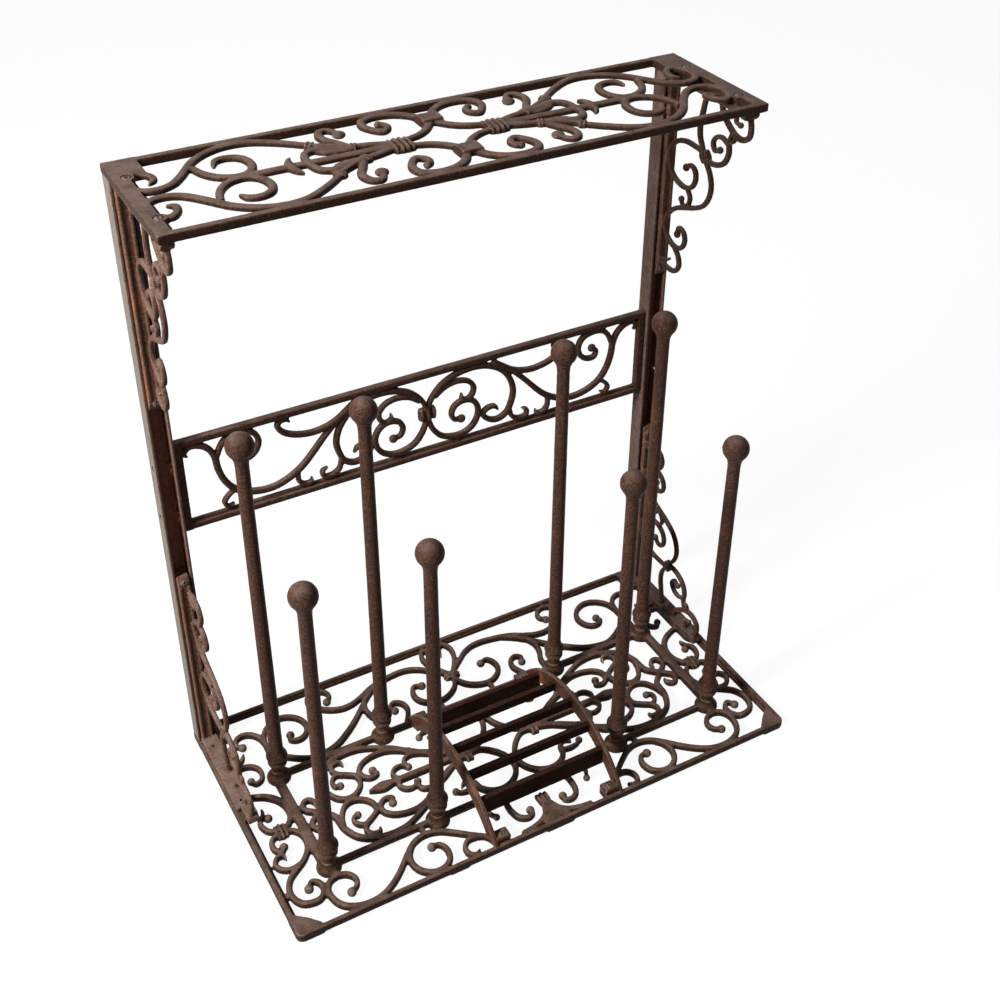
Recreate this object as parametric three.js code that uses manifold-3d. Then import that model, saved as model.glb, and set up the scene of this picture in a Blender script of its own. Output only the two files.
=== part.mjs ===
import * as THREE from 'three';
import { mergeVertices } from 'three/addons/utils/BufferGeometryUtils.js';
import Module from 'manifold-3d';

// A cast iron boot rack in millimetres: +Z up, +Y to the back, origin on the floor under the middle.
// The strips of the base and the panel are mirrored left to right, so their tables hold one half.
// The middle field of the base and the shelf are mirrored both ways, so their tables hold a quarter.

const wasm = await Module();
wasm.setup();

// The whole rack
const rackLength = 660;
const baseDepth = 348;
const rackHeight = 773;
const clearance = 0.3;
const overrun = 1;

// Scroll bars of the castings
const baseScrollWidth = 6.2;
const shelfScrollWidth = 8.2;
const panelScrollWidth = 6.4;
const bracketScrollWidth = 8;
const turnPerRing = THREE.MathUtils.degToRad(65);
const bulgeShare = 0.25;
const spanPieces = 10;
const leadPieces = 4;
const roundSides = 8;
const screwSides = 8;
const ballBands = 5;
const archSteps = 14;

// Base casting
const baseTop = 12;
const footLift = 2.5;
const baseScrollTop = 11;
const sideBarWidth = 10;
const endBarWidth = 8.5;
const innerBarWidth = 7.5;
const landingWidth = 22;
const landingInset = 8.5;
const cornerRadius = 9;
const plateAlongFront = 31;
const plateAlongSide = 30;
const plateBelly = 22;
const padWidth = 33;
const padDepth = 38;
const midFootLength = 40;
const bossDiameter = 26;
const bossTop = 19;
const bossShoulder = 4;

// Posts that the boots hang on
const columnShares = [-0.794, -0.376, 0.376, 0.794];
const rearRowShare = 0.31;
const frontRowShare = -0.566;
const rearBallCentre = 494;
const frontBallCentre = 409;
const ballDiameter = 31;
const shaftTopDiameter = 15;
const shaftFootDiameter = 17;
const neckDiameter = 19;
const neckLength = 12;
const beadDiameter = 21.5;
const beadPitch = 8;
const beadHeight = 38;
const socketDiameter = 20;
const boltDiameter = 8;
const boltHeadDiameter = 14;
const boltHeadHeight = 4;
const boltReach = 22;

// Uprights, open to the front
const uprightWidth = 24;
const uprightDepth = 23;
const uprightWall = 3.5;
const uprightInset = 0.5;
const backInset = 4;
const accessHole = 7;

// Top shelf casting
const shelfThickness = 9;
const shelfDepth = 176.5;
const shelfBarWidth = 8.5;
const shelfScrollTop = 8;
const shelfCornerCut = 5;
const endPlateWidth = 15;
const lugDiameter = 15;
const stemWidth = 12;
const claspLength = 24;
const claspWidth = 36;
const claspRib = 6;
const knotWidth = 17;
const knotDepth = 22;
const claspRise = 2;
const claspPlaceShare = 0.161;
const knotPlaceShare = 0.5;
const budDiameter = 25;
const budPlaceShare = 0.379;
const budSideShare = 0.227;
const budRise = 3;
const budTopDiameter = 15;
const leafLength = 42;
const leafWidth = 8;
const leafPlaceShare = 0.521;
const stemStartShare = 0.685;

// Back panel casting
const panelTop = 449.5;
const panelBottom = 330;
const panelThickness = 9;
const panelBarWidth = 11;
const panelEndWidth = 9;
const panelClaspWidth = 23;
const panelClaspHeight = 17;
const panelScrollThickness = 7;
const panelSetback = 10.5;

// Brackets, four alike
const bracketReach = 176.5;
const bracketDrop = 262;
const bracketThickness = 9;
const stripWidth = 19;
const stripThickness = 7;
const tongueWidth = 10;
const tongueProud = 2.5;
const bracketKnotLength = 22;
const bracketKnotWidth = 15;
const knotTurn = THREE.MathUtils.degToRad(38);

// Boot scraper casting
const scraperHalf = 85;
const scraperPlate = 5;
const archOverhang = 7;
const archInset = 1;
const archFoot = 22;
const archRise = 60;
const archInnerRise = 38;
const bladePitchShare = 0.171;
const bladeThickness = 5;
const bladeHeight = 12;
const endBladeHeight = 26;
const bladeDrop = 6;
const lugLength = 17;
const lugDepth = 15;
const lugHeight = 8;
const lugInset = 11.5;

// Screws
const screwDiameter = 4;
const screwHeadDiameter = 8.5;
const screwHeadHeight = 2.2;
const shelfScrewLength = 12;
const tipScrewLength = 23;
const panelScrewLength = 11;
const scraperScrewLength = 14;
const frontScrewInset = 36.5;
const screwSpacing = 97;
const tipScrewInset = 9;
const panelScrewSpacing = 66;

// Finishes
const iron = '#4a3029';
const darkIron = '#3a2520';
const wornIron = '#553225';
const screwSteel = '#5b4a44';
const ironRoughness = 0.72;
const steelRoughness = 0.5;
const metalness = 0.55;

const stripShares = [
  { width: 1.03, start: 'ball', end: 'plain', path: [
    [-0.769, -0.825], [-0.745, -0.798], [-0.735, -0.752], [-0.75, -0.693], [-0.783, -0.667],
    [-0.818, -0.687], [-0.836, -0.744], [-0.835, -0.819], [-0.818, -0.888], [-0.783, -0.936],
    [-0.738, -0.957], [-0.683, -0.945], [-0.635, -0.899], [-0.586, -0.825], [-0.538, -0.733],
    [-0.495, -0.667], [-0.447, -0.643], [-0.398, -0.664], [-0.356, -0.718], [-0.308, -0.79],
    [-0.274, -0.836]] },
  { width: 1.03, start: 'ball', end: 'plain', path: [
    [-0.45, -0.756], [-0.423, -0.761], [-0.408, -0.819], [-0.417, -0.899], [-0.45, -0.945],
    [-0.489, -0.945], [-0.526, -0.894], [-0.54, -0.819], [-0.531, -0.744], [-0.508, -0.687]] },
  { width: 0.87, start: 'tip', end: 'plain', path: [
    [-0.306, -0.922], [-0.326, -0.955], [-0.347, -0.934], [-0.351, -0.876], [-0.329, -0.828],
    [-0.295, -0.825], [-0.265, -0.853], [-0.25, -0.911], [-0.25, -0.98]] },
  { width: 0.97, start: 'ball', end: 'plain', path: [
    [-0.068, -0.802], [-0.066, -0.836], [-0.089, -0.853], [-0.117, -0.825], [-0.129, -0.761],
    [-0.129, -0.681], [-0.114, -0.57]] },
  { width: 0.97, start: 'plain', end: 'plain', path: [
    [0.005, -0.761], [-0.014, -0.842], [-0.047, -0.911], [-0.095, -0.943], [-0.144, -0.951]] },
  { width: 0.81, start: 'ball', end: 'plain', path: [
    [-0.189, -0.744], [-0.205, -0.681], [-0.211, -0.57]] },
  { width: 1.03, start: 'ball', end: 'plain', path: [
    [-0.891, -0.672], [-0.872, -0.628], [-0.85, -0.664], [-0.848, -0.725], [-0.868, -0.775],
    [-0.898, -0.782], [-0.931, -0.759], [-0.95, -0.698], [-0.951, -0.624], [-0.932, -0.549],
    [-0.898, -0.497], [-0.862, -0.449], [-0.834, -0.384], [-0.821, -0.307], [-0.826, -0.239],
    [-0.844, -0.189], [-0.864, -0.166]] },
  { width: 0.87, start: 'tip', end: 'plain', path: [
    [-0.911, -0.384], [-0.916, -0.348], [-0.938, -0.348], [-0.954, -0.399], [-0.941, -0.451],
    [-0.911, -0.476], [-0.874, -0.46]] },
  { width: 0.97, start: 'ball', end: 'plain', path: [
    [-0.9, -0.284], [-0.911, -0.319], [-0.927, -0.299], [-0.934, -0.244], [-0.923, -0.193],
    [-0.892, -0.173]] },
  { width: 0.97, start: 'ball', end: 'plain', path: [
    [-0.902, -0.009], [-0.918, 0.018], [-0.934, -0.014], [-0.934, -0.066], [-0.92, -0.118],
    [-0.892, -0.148]] },
  { width: 0.73, start: 'plain', end: 'tip', path: [
    [-0.926, 0.003], [-0.912, 0.043], [-0.909, 0.091]] },
  { width: 1.13, start: 'plain', end: 'plain', path: [
    [-0.947, 0.227], [-0.914, 0.21], [-0.874, 0.172], [-0.844, 0.114], [-0.826, 0.037],
    [-0.827, -0.055], [-0.847, -0.118], [-0.866, -0.143]] },
  { width: 0.9, start: 'ball', end: 'plain', path: [
    [-0.894, 0.351], [-0.882, 0.314], [-0.858, 0.33], [-0.846, 0.388], [-0.853, 0.448], [-0.88, 0.489],
    [-0.945, 0.492]] },
  { width: 1, start: 'ball', end: 'plain', path: [
    [-0.864, 0.675], [-0.88, 0.704], [-0.874, 0.758], [-0.846, 0.784], [-0.815, 0.765], [-0.792, 0.71],
    [-0.783, 0.624], [-0.792, 0.45]] },
  { width: 0.81, start: 'plain', end: 'tip', path: [
    [-0.945, 0.55], [-0.895, 0.552], [-0.87, 0.618]] },
  { width: 1, start: 'ball', end: 'plain', path: [
    [-0.683, 0.627], [-0.692, 0.586], [-0.672, 0.558], [-0.641, 0.566], [-0.618, 0.618],
    [-0.612, 0.687], [-0.628, 0.756], [-0.659, 0.802], [-0.695, 0.816], [-0.738, 0.784],
    [-0.768, 0.724], [-0.783, 0.624]] },
  { width: 1, start: 'ball', end: 'plain', path: [
    [-0.494, 0.804], [-0.474, 0.848], [-0.483, 0.905], [-0.52, 0.938], [-0.553, 0.905],
    [-0.561, 0.836], [-0.538, 0.773], [-0.502, 0.719], [-0.456, 0.687], [-0.411, 0.693],
    [-0.362, 0.73], [-0.32, 0.773], [-0.277, 0.799], [-0.229, 0.816], [-0.186, 0.825], [-0.144, 0.816],
    [-0.105, 0.784], [-0.068, 0.727], [-0.029, 0.664], [0, 0.624]] },
  { width: 1, start: 'plain', end: 'plain', path: [
    [-0.783, 0.48], [-0.738, 0.445], [-0.695, 0.388], [-0.647, 0.346], [-0.598, 0.35],
    [-0.544, 0.382], [-0.489, 0.451], [-0.441, 0.526], [-0.395, 0.612], [-0.356, 0.687],
    [-0.317, 0.747], [-0.28, 0.79]] },
  { width: 1.03, start: 'plain', end: 'plain', path: [
    [-0.365, 0.675], [-0.379, 0.595], [-0.374, 0.514], [-0.356, 0.434], [-0.353, 0.32]] },
  { width: 0.97, start: 'ball', end: 'plain', path: [
    [-0.282, 0.48], [-0.292, 0.526], [-0.271, 0.555], [-0.244, 0.526], [-0.235, 0.463],
    [-0.247, 0.399], [-0.275, 0.32]] },
  { width: 0.9, start: 'tip', end: 'plain', path: [
    [0.011, 0.83], [0.02, 0.905], [0.044, 0.942], [0.063, 0.875], [0.056, 0.779], [0.035, 0.704],
    [0.005, 0.624]] },
  { width: 1.03, start: 'ball', end: 'plain', path: [
    [-0.132, 0.616], [-0.161, 0.635], [-0.18, 0.578], [-0.18, 0.509], [-0.159, 0.451], [-0.117, 0.411],
    [-0.068, 0.425], [-0.026, 0.478], [-0.005, 0.543], [0, 0.601]] },
];

const fieldShares = [
  { width: 1.04, start: 'tip', end: 'plain', path: [
    [-0.922, 0.144], [-0.92, 0.236], [-0.937, 0.308], [-0.96, 0.301], [-0.975, 0.223], [-0.971, 0.131],
    [-0.952, 0.072], [-0.906, -0.059], [-0.872, -0.183], [-0.865, -0.328], [-0.862, -0.459],
    [-0.826, -0.716], [-0.761, -0.865], [-0.685, -0.917], [-0.609, -0.891], [-0.544, -0.794],
    [-0.475, -0.668]] },
  { width: 0.94, start: 'plain', end: 'tip', path: [
    [-0.859, -0.498], [-0.845, -0.275], [-0.816, -0.105], [-0.775, -0.034], [-0.727, -0.079],
    [-0.691, -0.223], [-0.69, -0.385], [-0.727, -0.49], [-0.761, -0.564], [-0.778, -0.674],
    [-0.761, -0.779], [-0.727, -0.786], [-0.717, -0.695]] },
  { width: 0.9, start: 'ball', end: 'plain', path: [
    [-0.778, -0.333], [-0.801, -0.354], [-0.803, -0.459], [-0.781, -0.543], [-0.75, -0.558]] },
  { width: 0.97, start: 'ball', end: 'plain', path: [
    [-0.61, -0.375], [-0.597, -0.28], [-0.632, -0.249], [-0.662, -0.322], [-0.668, -0.459],
    [-0.643, -0.569], [-0.597, -0.642], [-0.536, -0.663], [-0.483, -0.616], [-0.429, -0.498]] },
  { width: 0.9, start: 'ball', end: 'plain', path: [
    [-0.455, -0.17], [-0.483, -0.249], [-0.521, -0.223], [-0.54, -0.118], [-0.521, -0.008]] },
  { width: 0.94, start: 'plain', end: 'plain', path: [
    [-0.462, -0.21], [-0.455, -0.333], [-0.419, -0.385], [-0.38, -0.354], [-0.334, -0.262],
    [-0.292, -0.17]] },
  { width: 1.13, start: 'plain', end: 'plain', path: [
    [-0.475, -0.668], [-0.426, -0.511], [-0.38, -0.38], [-0.326, -0.275], [-0.258, -0.135],
    [-0.185, -0.06]] },
  { width: 1, start: 'plain', end: 'tip', path: [
    [-0.177, -0.066], [-0.116, -0.052], [-0.063, -0.183], [-0.025, -0.38], [-0.013, -0.59],
    [-0.036, -0.779], [-0.082, -0.91], [-0.132, -0.952], [-0.181, -0.91], [-0.219, -0.786],
    [-0.233, -0.616], [-0.265, -0.543], [-0.296, -0.616]] },
  { width: 0.87, start: 'plain', end: 'ball', path: [
    [-0.227, -0.708], [-0.269, -0.734], [-0.311, -0.708], [-0.33, -0.655]] },
];

const shelfShares = [
  { width: 1.02, start: 'tip', end: 'plain', path: [
    [-0.92, -0.395], [-0.906, -0.281], [-0.888, -0.356], [-0.891, -0.485], [-0.917, -0.576],
    [-0.947, -0.524], [-0.961, -0.361], [-0.955, -0.213], [-0.927, -0.116], [-0.886, -0.1],
    [-0.848, -0.161], [-0.815, -0.288], [-0.782, -0.456], [-0.749, -0.621], [-0.706, -0.751],
    [-0.658, -0.835], [-0.605, -0.865], [-0.55, -0.83], [-0.498, -0.723], [-0.453, -0.599],
    [-0.405, -0.44], [-0.385, -0.36]] },
  { width: 1, start: 'tip', end: 'plain', path: [
    [-0.706, -0.394], [-0.688, -0.521], [-0.652, -0.548], [-0.618, -0.48], [-0.603, -0.332],
    [-0.612, -0.151], [-0.642, -0.04], [-0.683, -0.038], [-0.722, -0.122], [-0.749, -0.264],
    [-0.764, -0.457]] },
  { width: 0.98, start: 'tip', end: 'plain', path: [
    [-0.298, -0.637], [-0.314, -0.773], [-0.347, -0.773], [-0.367, -0.655], [-0.359, -0.508],
    [-0.326, -0.361], [-0.305, -0.202]] },
  { width: 0.98, start: 'plain', end: 'plain', path: [
    [-0.271, -0.123], [-0.314, -0.229], [-0.374, -0.338], [-0.432, -0.356], [-0.468, -0.247],
    [-0.474, -0.066], [-0.456, 0.043]] },
  { width: 1, start: 'tip', end: 'plain', path: [
    [-0.173, -0.751], [-0.147, -0.667], [-0.138, -0.531], [-0.165, -0.433], [-0.198, -0.508],
    [-0.222, -0.655], [-0.209, -0.791], [-0.15, -0.865], [-0.083, -0.83], [-0.041, -0.712],
    [-0.02, -0.587], [0, -0.474], [0.018, -0.361], [0.05, -0.225], [0.086, -0.139], [0.15, -0.07]] },
];

const panelShares = [
  { width: 1.03, start: 'plain', end: 'tip', path: [
    [0.004, 0.026], [0.008, 0.205], [0.03, 0.406], [0.07, 0.603], [0.122, 0.726], [0.181, 0.781],
    [0.243, 0.759], [0.298, 0.651], [0.343, 0.465], [0.373, 0.212], [0.384, -0.066], [0.373, -0.327],
    [0.354, -0.524], [0.313, -0.628], [0.27, -0.561], [0.245, -0.39], [0.27, -0.286], [0.298, -0.293],
    [0.316, -0.412]] },
  { width: 0.91, start: 'ball', end: 'plain', path: [
    [0.153, 0.25], [0.153, 0.131], [0.177, 0.071], [0.199, 0.168], [0.204, 0.343], [0.177, 0.503],
    [0.129, 0.566], [0.078, 0.51], [0.033, 0.343]] },
  { width: 1.03, start: 'ball', end: 'plain', path: [
    [0.148, -0.353], [0.118, -0.327], [0.106, -0.159], [0.123, 0.008], [0.164, 0.071], [0.201, -0.003],
    [0.223, -0.189], [0.22, -0.42], [0.197, -0.606], [0.155, -0.717], [0.107, -0.717], [0.059, -0.624],
    [0.023, -0.401], [0.006, -0.159], [0.004, 0.026]] },
  { width: 1, start: 'tip', end: 'plain', path: [
    [0.557, 0.703], [0.571, 0.8], [0.596, 0.815], [0.609, 0.726], [0.594, 0.566], [0.552, 0.428],
    [0.482, 0.35], [0.431, 0.372], [0.379, 0.465], [0.331, 0.64], [0.291, 0.8]] },
  { width: 1.03, start: 'plain', end: 'tip', path: [
    [0.379, 0.436], [0.431, 0.175], [0.475, -0.078], [0.519, -0.316], [0.556, -0.457], [0.596, -0.561],
    [0.641, -0.628], [0.692, -0.628], [0.749, -0.55], [0.795, -0.401], [0.828, -0.159], [0.847, 0.138],
    [0.855, 0.436], [0.876, 0.659], [0.909, 0.778], [0.944, 0.8], [0.967, 0.677], [0.953, 0.517]] },
  { width: 1, start: 'ball', end: 'plain', path: [
    [0.751, 0.436], [0.773, 0.343], [0.763, 0.212], [0.727, 0.212], [0.696, 0.343], [0.686, 0.547],
    [0.707, 0.741], [0.755, 0.815], [0.8, 0.778], [0.828, 0.64], [0.847, 0.417]] },
  { width: 0.91, start: 'ball', end: 'plain', path: [
    [0.425, -0.55], [0.447, -0.606], [0.444, -0.736], [0.409, -0.762], [0.379, -0.662],
    [0.368, -0.457]] },
  { width: 0.91, start: 'ball', end: 'plain', path: [
    [0.491, -0.673], [0.496, -0.773], [0.526, -0.773], [0.545, -0.662], [0.545, -0.438]] },
  { width: 0.84, start: 'tip', end: 'plain', path: [
    [0.802, -0.717], [0.825, -0.762], [0.837, -0.643], [0.821, -0.524], [0.795, -0.42]] },
];

const bracketShares = [
  { width: 1, start: 'plain', end: 'plain', path: [
    [0.935, 0.01], [0.963, 0.057], [0.959, 0.107], [0.899, 0.135], [0.829, 0.134], [0.758, 0.109],
    [0.687, 0.069], [0.659, 0.021]] },
  { width: 0.75, start: 'ball', end: 'plain', path: [
    [0.864, 0.08], [0.819, 0.073], [0.833, 0.021]] },
  { width: 1, start: 'plain', end: 'plain', path: [
    [0.531, 0.302], [0.602, 0.312], [0.68, 0.302], [0.744, 0.274], [0.776, 0.226], [0.771, 0.178],
    [0.793, 0.135]] },
  { width: 0.88, start: 'ball', end: 'plain', path: [
    [0.687, 0.233], [0.64, 0.248], [0.612, 0.219], [0.64, 0.186], [0.697, 0.174], [0.762, 0.188]] },
  { width: 1, start: 'plain', end: 'plain', path: [
    [0.517, 0.274], [0.475, 0.226], [0.465, 0.174], [0.482, 0.107], [0.51, 0.016]] },
  { width: 1, start: 'ball', end: 'plain', path: [
    [0.354, 0.398], [0.397, 0.376], [0.446, 0.385], [0.465, 0.422], [0.439, 0.465], [0.375, 0.49],
    [0.283, 0.487], [0.205, 0.46], [0.163, 0.407], [0.177, 0.345], [0.241, 0.302], [0.333, 0.281],
    [0.425, 0.279], [0.51, 0.283]] },
  { width: 1, start: 'ball', end: 'plain', path: [
    [0.314, 0.735], [0.329, 0.698], [0.382, 0.706], [0.404, 0.744], [0.375, 0.784], [0.312, 0.802],
    [0.234, 0.789], [0.17, 0.746], [0.17, 0.697], [0.227, 0.641], [0.297, 0.608], [0.39, 0.582],
    [0.489, 0.555], [0.569, 0.522], [0.616, 0.477], [0.633, 0.422], [0.609, 0.365], [0.552, 0.317]] },
  { width: 0.82, start: 'ball', end: 'plain', path: [
    [0.329, 0.555], [0.351, 0.579], [0.399, 0.568], [0.422, 0.529], [0.385, 0.487]] },
  { width: 0.95, start: 'plain', end: 'plain', path: [
    [0.283, 0.799], [0.343, 0.837], [0.361, 0.88], [0.329, 0.916], [0.262, 0.929], [0.156, 0.918]] },
  { width: 0.69, start: 'tip', end: 'plain', path: [
    [0.262, 0.87], [0.227, 0.889], [0.156, 0.899]] },
  { width: 0.75, start: 'plain', end: 'tip', path: [
    [0.833, 0.135], [0.814, 0.164], [0.796, 0.179]] },
];

// Clasps and knots: place across and along, then width and depth as shares of the scroll width.
const claspShares = [
  [0.879, -0.15, 1.94, 3.55], [0, 0.612, 3.55, 1.61], [0, -0.75, 2.58, 2.58], [0, -0.86, 1.3, 6.2],
];
// Short links where a scroll bar passes close to a straight bar: from and to across, then from and to along.
const linkShares = [
  [0.804, 0.832, -0.316, -0.284], [0.804, 0.832, -0.006, 0.026], [0.949, 0.971, -0.676, -0.644],
  [0.438, 0.456, -0.638, -0.582], [0.782, 0.798, 0.368, 0.512], [0.102, 0.118, 0.318, 0.396],
];
const fieldClaspShares = [[0.177, 0.09, 1.94, 2.26], [0.405, 0.45, 1.9, 1.9], [0, 0.6, 1.3, 2.1]];
const spearShares = [
  [0.662, 0], [0.601, 1.13], [0.548, 0.6], [0.53, 0.73], [0.15, 0.73],
  [0.15, -0.73], [0.53, -0.73], [0.548, -0.6], [0.601, -1.13],
];
// The ends of scroll bars: how far one runs on, then marks of distance and width, all as shares of its width.
const endShares = {
  ball: { lead: 0.75, marks: [[0, 0.75], [0.45, 1.6], [1.05, 1.6], [1.55, 1]] },
  tip: { lead: 0, marks: [[0, 0.35], [2.2, 1]] },
  plain: { lead: 0, marks: [] },
};
const panelLinkShares = [0.128, -0.775, 0.9, 1.3];
const collarShares = [0.29, 0, 1, 4.6];
const bracketKnotShares = [0.544, 0.298];

const halfLength = rackLength / 2;
const halfDepth = baseDepth / 2;
const bore = screwDiameter + 2 * clearance;
const headBore = screwHeadDiameter + 2 * clearance;
const headDepth = screwHeadHeight + clearance;

// Places that several pieces share
const backFace = halfDepth - backInset;
const channelFront = backFace - uprightDepth;
const webFace = backFace - uprightWall;
const uprightOuter = halfLength - uprightInset;
const uprightInner = uprightOuter - uprightWidth;
const uprightMiddle = uprightOuter - uprightWidth / 2;
const shelfUnder = rackHeight - shelfThickness;
const shelfMiddle = backFace - shelfDepth / 2;
const bracketTop = shelfUnder - clearance;
const bracketFoot = baseTop + clearance;
const panelMiddle = channelFront + panelSetback;
const panelHalf = uprightInner - clearance;
const frontScrewPlace = backFace - bracketReach + frontScrewInset;
const rearScrewPlace = frontScrewPlace + screwSpacing;
const tipScrewDrop = bracketDrop - tipScrewInset;
const landingFront = backFace - bracketReach + landingInset;
const columns = columnShares.map((share) => share * halfLength);
const outerColumn = columns[columns.length - 1];
const rearRow = rearRowShare * halfDepth;
const frontRow = frontRowShare * halfDepth;
const archRear = rearRow + archOverhang;
const archFront = archInset - halfDepth;
const archMiddle = (archRear + archFront) / 2;
const archSpan = archRear - archFront;
const archInnerSpan = archSpan - 2 * archFoot;
const bladePitch = bladePitchShare * archSpan;
const scraperRows = [archRear - lugInset, archFront + lugInset];
const scraperLugPlace = scraperHalf - (scraperPlate + lugLength) / 2;

function trianglesOf(geometry) {
  const bare = geometry.clone();
  bare.deleteAttribute('normal');
  bare.deleteAttribute('uv');
  const merged = mergeVertices(bare);
  const corners = merged.index.array;
  const kept = [];
  for (let i = 0; i < corners.length; i += 3) {
    const [a, b, c] = [corners[i], corners[i + 1], corners[i + 2]];
    if (a !== b && b !== c && c !== a) kept.push(a, b, c);
  }
  return { places: Float32Array.from(merged.attributes.position.array), corners: Uint32Array.from(kept) };
}

function toSolid(geometry) {
  const { places, corners } = trianglesOf(geometry);
  return new wasm.Manifold(new wasm.Mesh({ numProp: 3, vertProperties: places, triVerts: corners }));
}

function toGeometry(solid) {
  const mesh = solid.getMesh();
  const geometry = new THREE.BufferGeometry();
  geometry.setAttribute('position', new THREE.BufferAttribute(mesh.vertProperties, 3));
  geometry.setIndex(new THREE.BufferAttribute(mesh.triVerts, 1));
  geometry.computeVertexNormals();
  return geometry;
}

function joined(parts) {
  return parts.reduce((whole, part) => whole.add(part));
}

function cut(body, tools) {
  return tools.reduce((left, tool) => left.subtract(tool), body);
}

// A block between two corners.
function block(x0, x1, y0, y1, z0, z1) {
  const geometry = new THREE.BoxGeometry(x1 - x0, y1 - y0, z1 - z0);
  return toSolid(geometry.translate((x0 + x1) / 2, (y0 + y1) / 2, (z0 + z1) / 2));
}

// A round bar or hole along X or Y, about the given middle.
function pin(axis, diameter, x, y, z, length, sides = screwSides) {
  const geometry = new THREE.CylinderGeometry(diameter / 2, diameter / 2, length, sides);
  return toSolid((axis === 'x' ? geometry.rotateZ(Math.PI / 2) : geometry).translate(x, y, z));
}

// A round bar or hole along Z, with its foot at the given place.
function round(diameter, x, y, z0, z1, sides = roundSides, topDiameter = diameter) {
  const geometry = new THREE.CylinderGeometry(topDiameter / 2, diameter / 2, z1 - z0, sides);
  return toSolid(geometry.rotateX(Math.PI / 2).translate(x, y, (z0 + z1) / 2));
}

function extruded(points, depth, holes = []) {
  const shape = new THREE.Shape(points.map(([x, y]) => new THREE.Vector2(x, y)));
  for (const hole of holes) shape.holes.push(new THREE.Path(hole.map(([x, y]) => new THREE.Vector2(x, y))));
  return new THREE.ExtrudeGeometry(shape, { depth, bevelEnabled: false });
}

// A profile of radius and height turned about Z.
function lathed(profile, sides) {
  const points = profile.map(([radius, height]) => new THREE.Vector2(radius, height));
  return new THREE.LatheGeometry(points, sides).rotateX(Math.PI / 2);
}

// The width share at a distance from one end of a scroll bar, read between the marks of that end.
function widthShare(marks, distance) {
  const next = marks.findIndex(([place]) => place > distance);
  if (next < 0) return 1;
  if (next === 0) return marks[0][1];
  const [[nearPlace, nearShare], [farPlace, farShare]] = [marks[next - 1], marks[next]];
  return nearShare + ((farShare - nearShare) * (distance - nearPlace)) / (farPlace - nearPlace);
}

// A scroll bar gets a new ring where a straight run would leave its curve too far, or turn too much.
// A ball end runs on a little past its point.
function ringsOf(path, width, start, end) {
  const knots = path.map(([x, y]) => new THREE.Vector3(x, y, 0));
  const curve = new THREE.CatmullRomCurve3(knots, false, 'centripetal');
  const fine = curve.getPoints((path.length - 1) * spanPieces);
  const lead = (from, next, share) => {
    const step = new THREE.Vector3().subVectors(from, next).setLength((share * width) / leadPieces);
    return Array.from({ length: leadPieces }, (_, i) => from.clone().addScaledVector(step, i + 1));
  };
  if (endShares[start].lead > 0) fine.unshift(...lead(fine[0], fine[1], endShares[start].lead).reverse());
  const tail = fine.length - 1;
  if (endShares[end].lead > 0) fine.push(...lead(fine[tail], fine[tail - 1], endShares[end].lead));
  const last = fine.length - 1;
  const run = [0];
  for (let i = 1; i <= last; i += 1) run.push(run[i - 1] + fine[i].distanceTo(fine[i - 1]) / width);
  const whole = run[last];
  const marks = endShares[start].marks.map(([place]) => place);
  endShares[end].marks.forEach(([place]) => marks.push(whole - place));
  const rings = [];
  let turn = 0;
  let ringRun = 0;
  for (let i = 0; i <= last; i += 1) {
    const before = fine[Math.max(i - 1, 0)];
    const after = fine[Math.min(i + 1, last)];
    if (i > 0 && i < last) {
      const into = new THREE.Vector3().subVectors(fine[i], before);
      turn += into.angleTo(new THREE.Vector3().subVectors(after, fine[i]));
    }
    const marked = marks.some((mark) => i > 0 && mark > run[i - 1] && mark <= run[i]);
    const bulge = ((run[i] - ringRun) * turn) / 8;
    if (i === 0 || i === last || marked || turn >= turnPerRing || bulge >= bulgeShare) {
      const fromStart = widthShare(endShares[start].marks, run[i]);
      const fromEnd = widthShare(endShares[end].marks, whole - run[i]);
      const along = new THREE.Vector3().subVectors(after, before).normalize();
      rings.push({ at: fine[i], along, half: (width * fromStart * fromEnd) / 2 });
      turn = 0;
      ringRun = run[i];
    }
  }
  return rings;
}

// A cast scroll bar of square section, drawn on the flat.
function scrollBar(path, width, floor, crown, start, end) {
  const rings = ringsOf(path, width, start, end);
  const places = [];
  for (const { at, along, half } of rings) {
    const corners = [[half, floor], [-half, floor], [-half, crown], [half, crown]];
    for (const [side, height] of corners) places.push(at.x - along.y * side, at.y + along.x * side, height);
  }
  const faces = [0, 1, 2, 0, 2, 3];
  for (let ring = 0; ring < rings.length - 1; ring += 1) {
    for (let side = 0; side < 4; side += 1) {
      const p = ring * 4 + side;
      const q = ring * 4 + ((side + 1) % 4);
      faces.push(q, p, p + 4, q, p + 4, q + 4);
    }
  }
  const tail = (rings.length - 1) * 4;
  faces.push(tail, tail + 2, tail + 1, tail, tail + 3, tail + 2);
  const geometry = new THREE.BufferGeometry();
  geometry.setAttribute('position', new THREE.Float32BufferAttribute(places, 3));
  geometry.setIndex(faces);
  return toSolid(geometry);
}

// All the scroll bars of one table, carried to their places by the given rule.
function scrolls(table, place, width, floor, crown) {
  return table.map(({ width: share, start, end, path }) => (
    scrollBar(path.map(place), share * width, floor, crown, start, end)));
}

// A clasp across the scroll bars, its sides given as shares of their width.
function claspAt(x, y, w, d, width, floor, top) {
  const half = [(w * width) / 2, (d * width) / 2];
  return block(x - half[0], x + half[0], y - half[1], y + half[1], floor, top);
}

function metal(colour, roughness) {
  return new THREE.MeshStandardMaterial({ color: colour, roughness, metalness });
}

const group = new THREE.Group();

function addPiece(name, geometry, colour, roughness = ironRoughness) {
  const mesh = new THREE.Mesh(geometry, metal(colour, roughness));
  mesh.name = name;
  group.add(mesh);
  return mesh;
}

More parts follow.
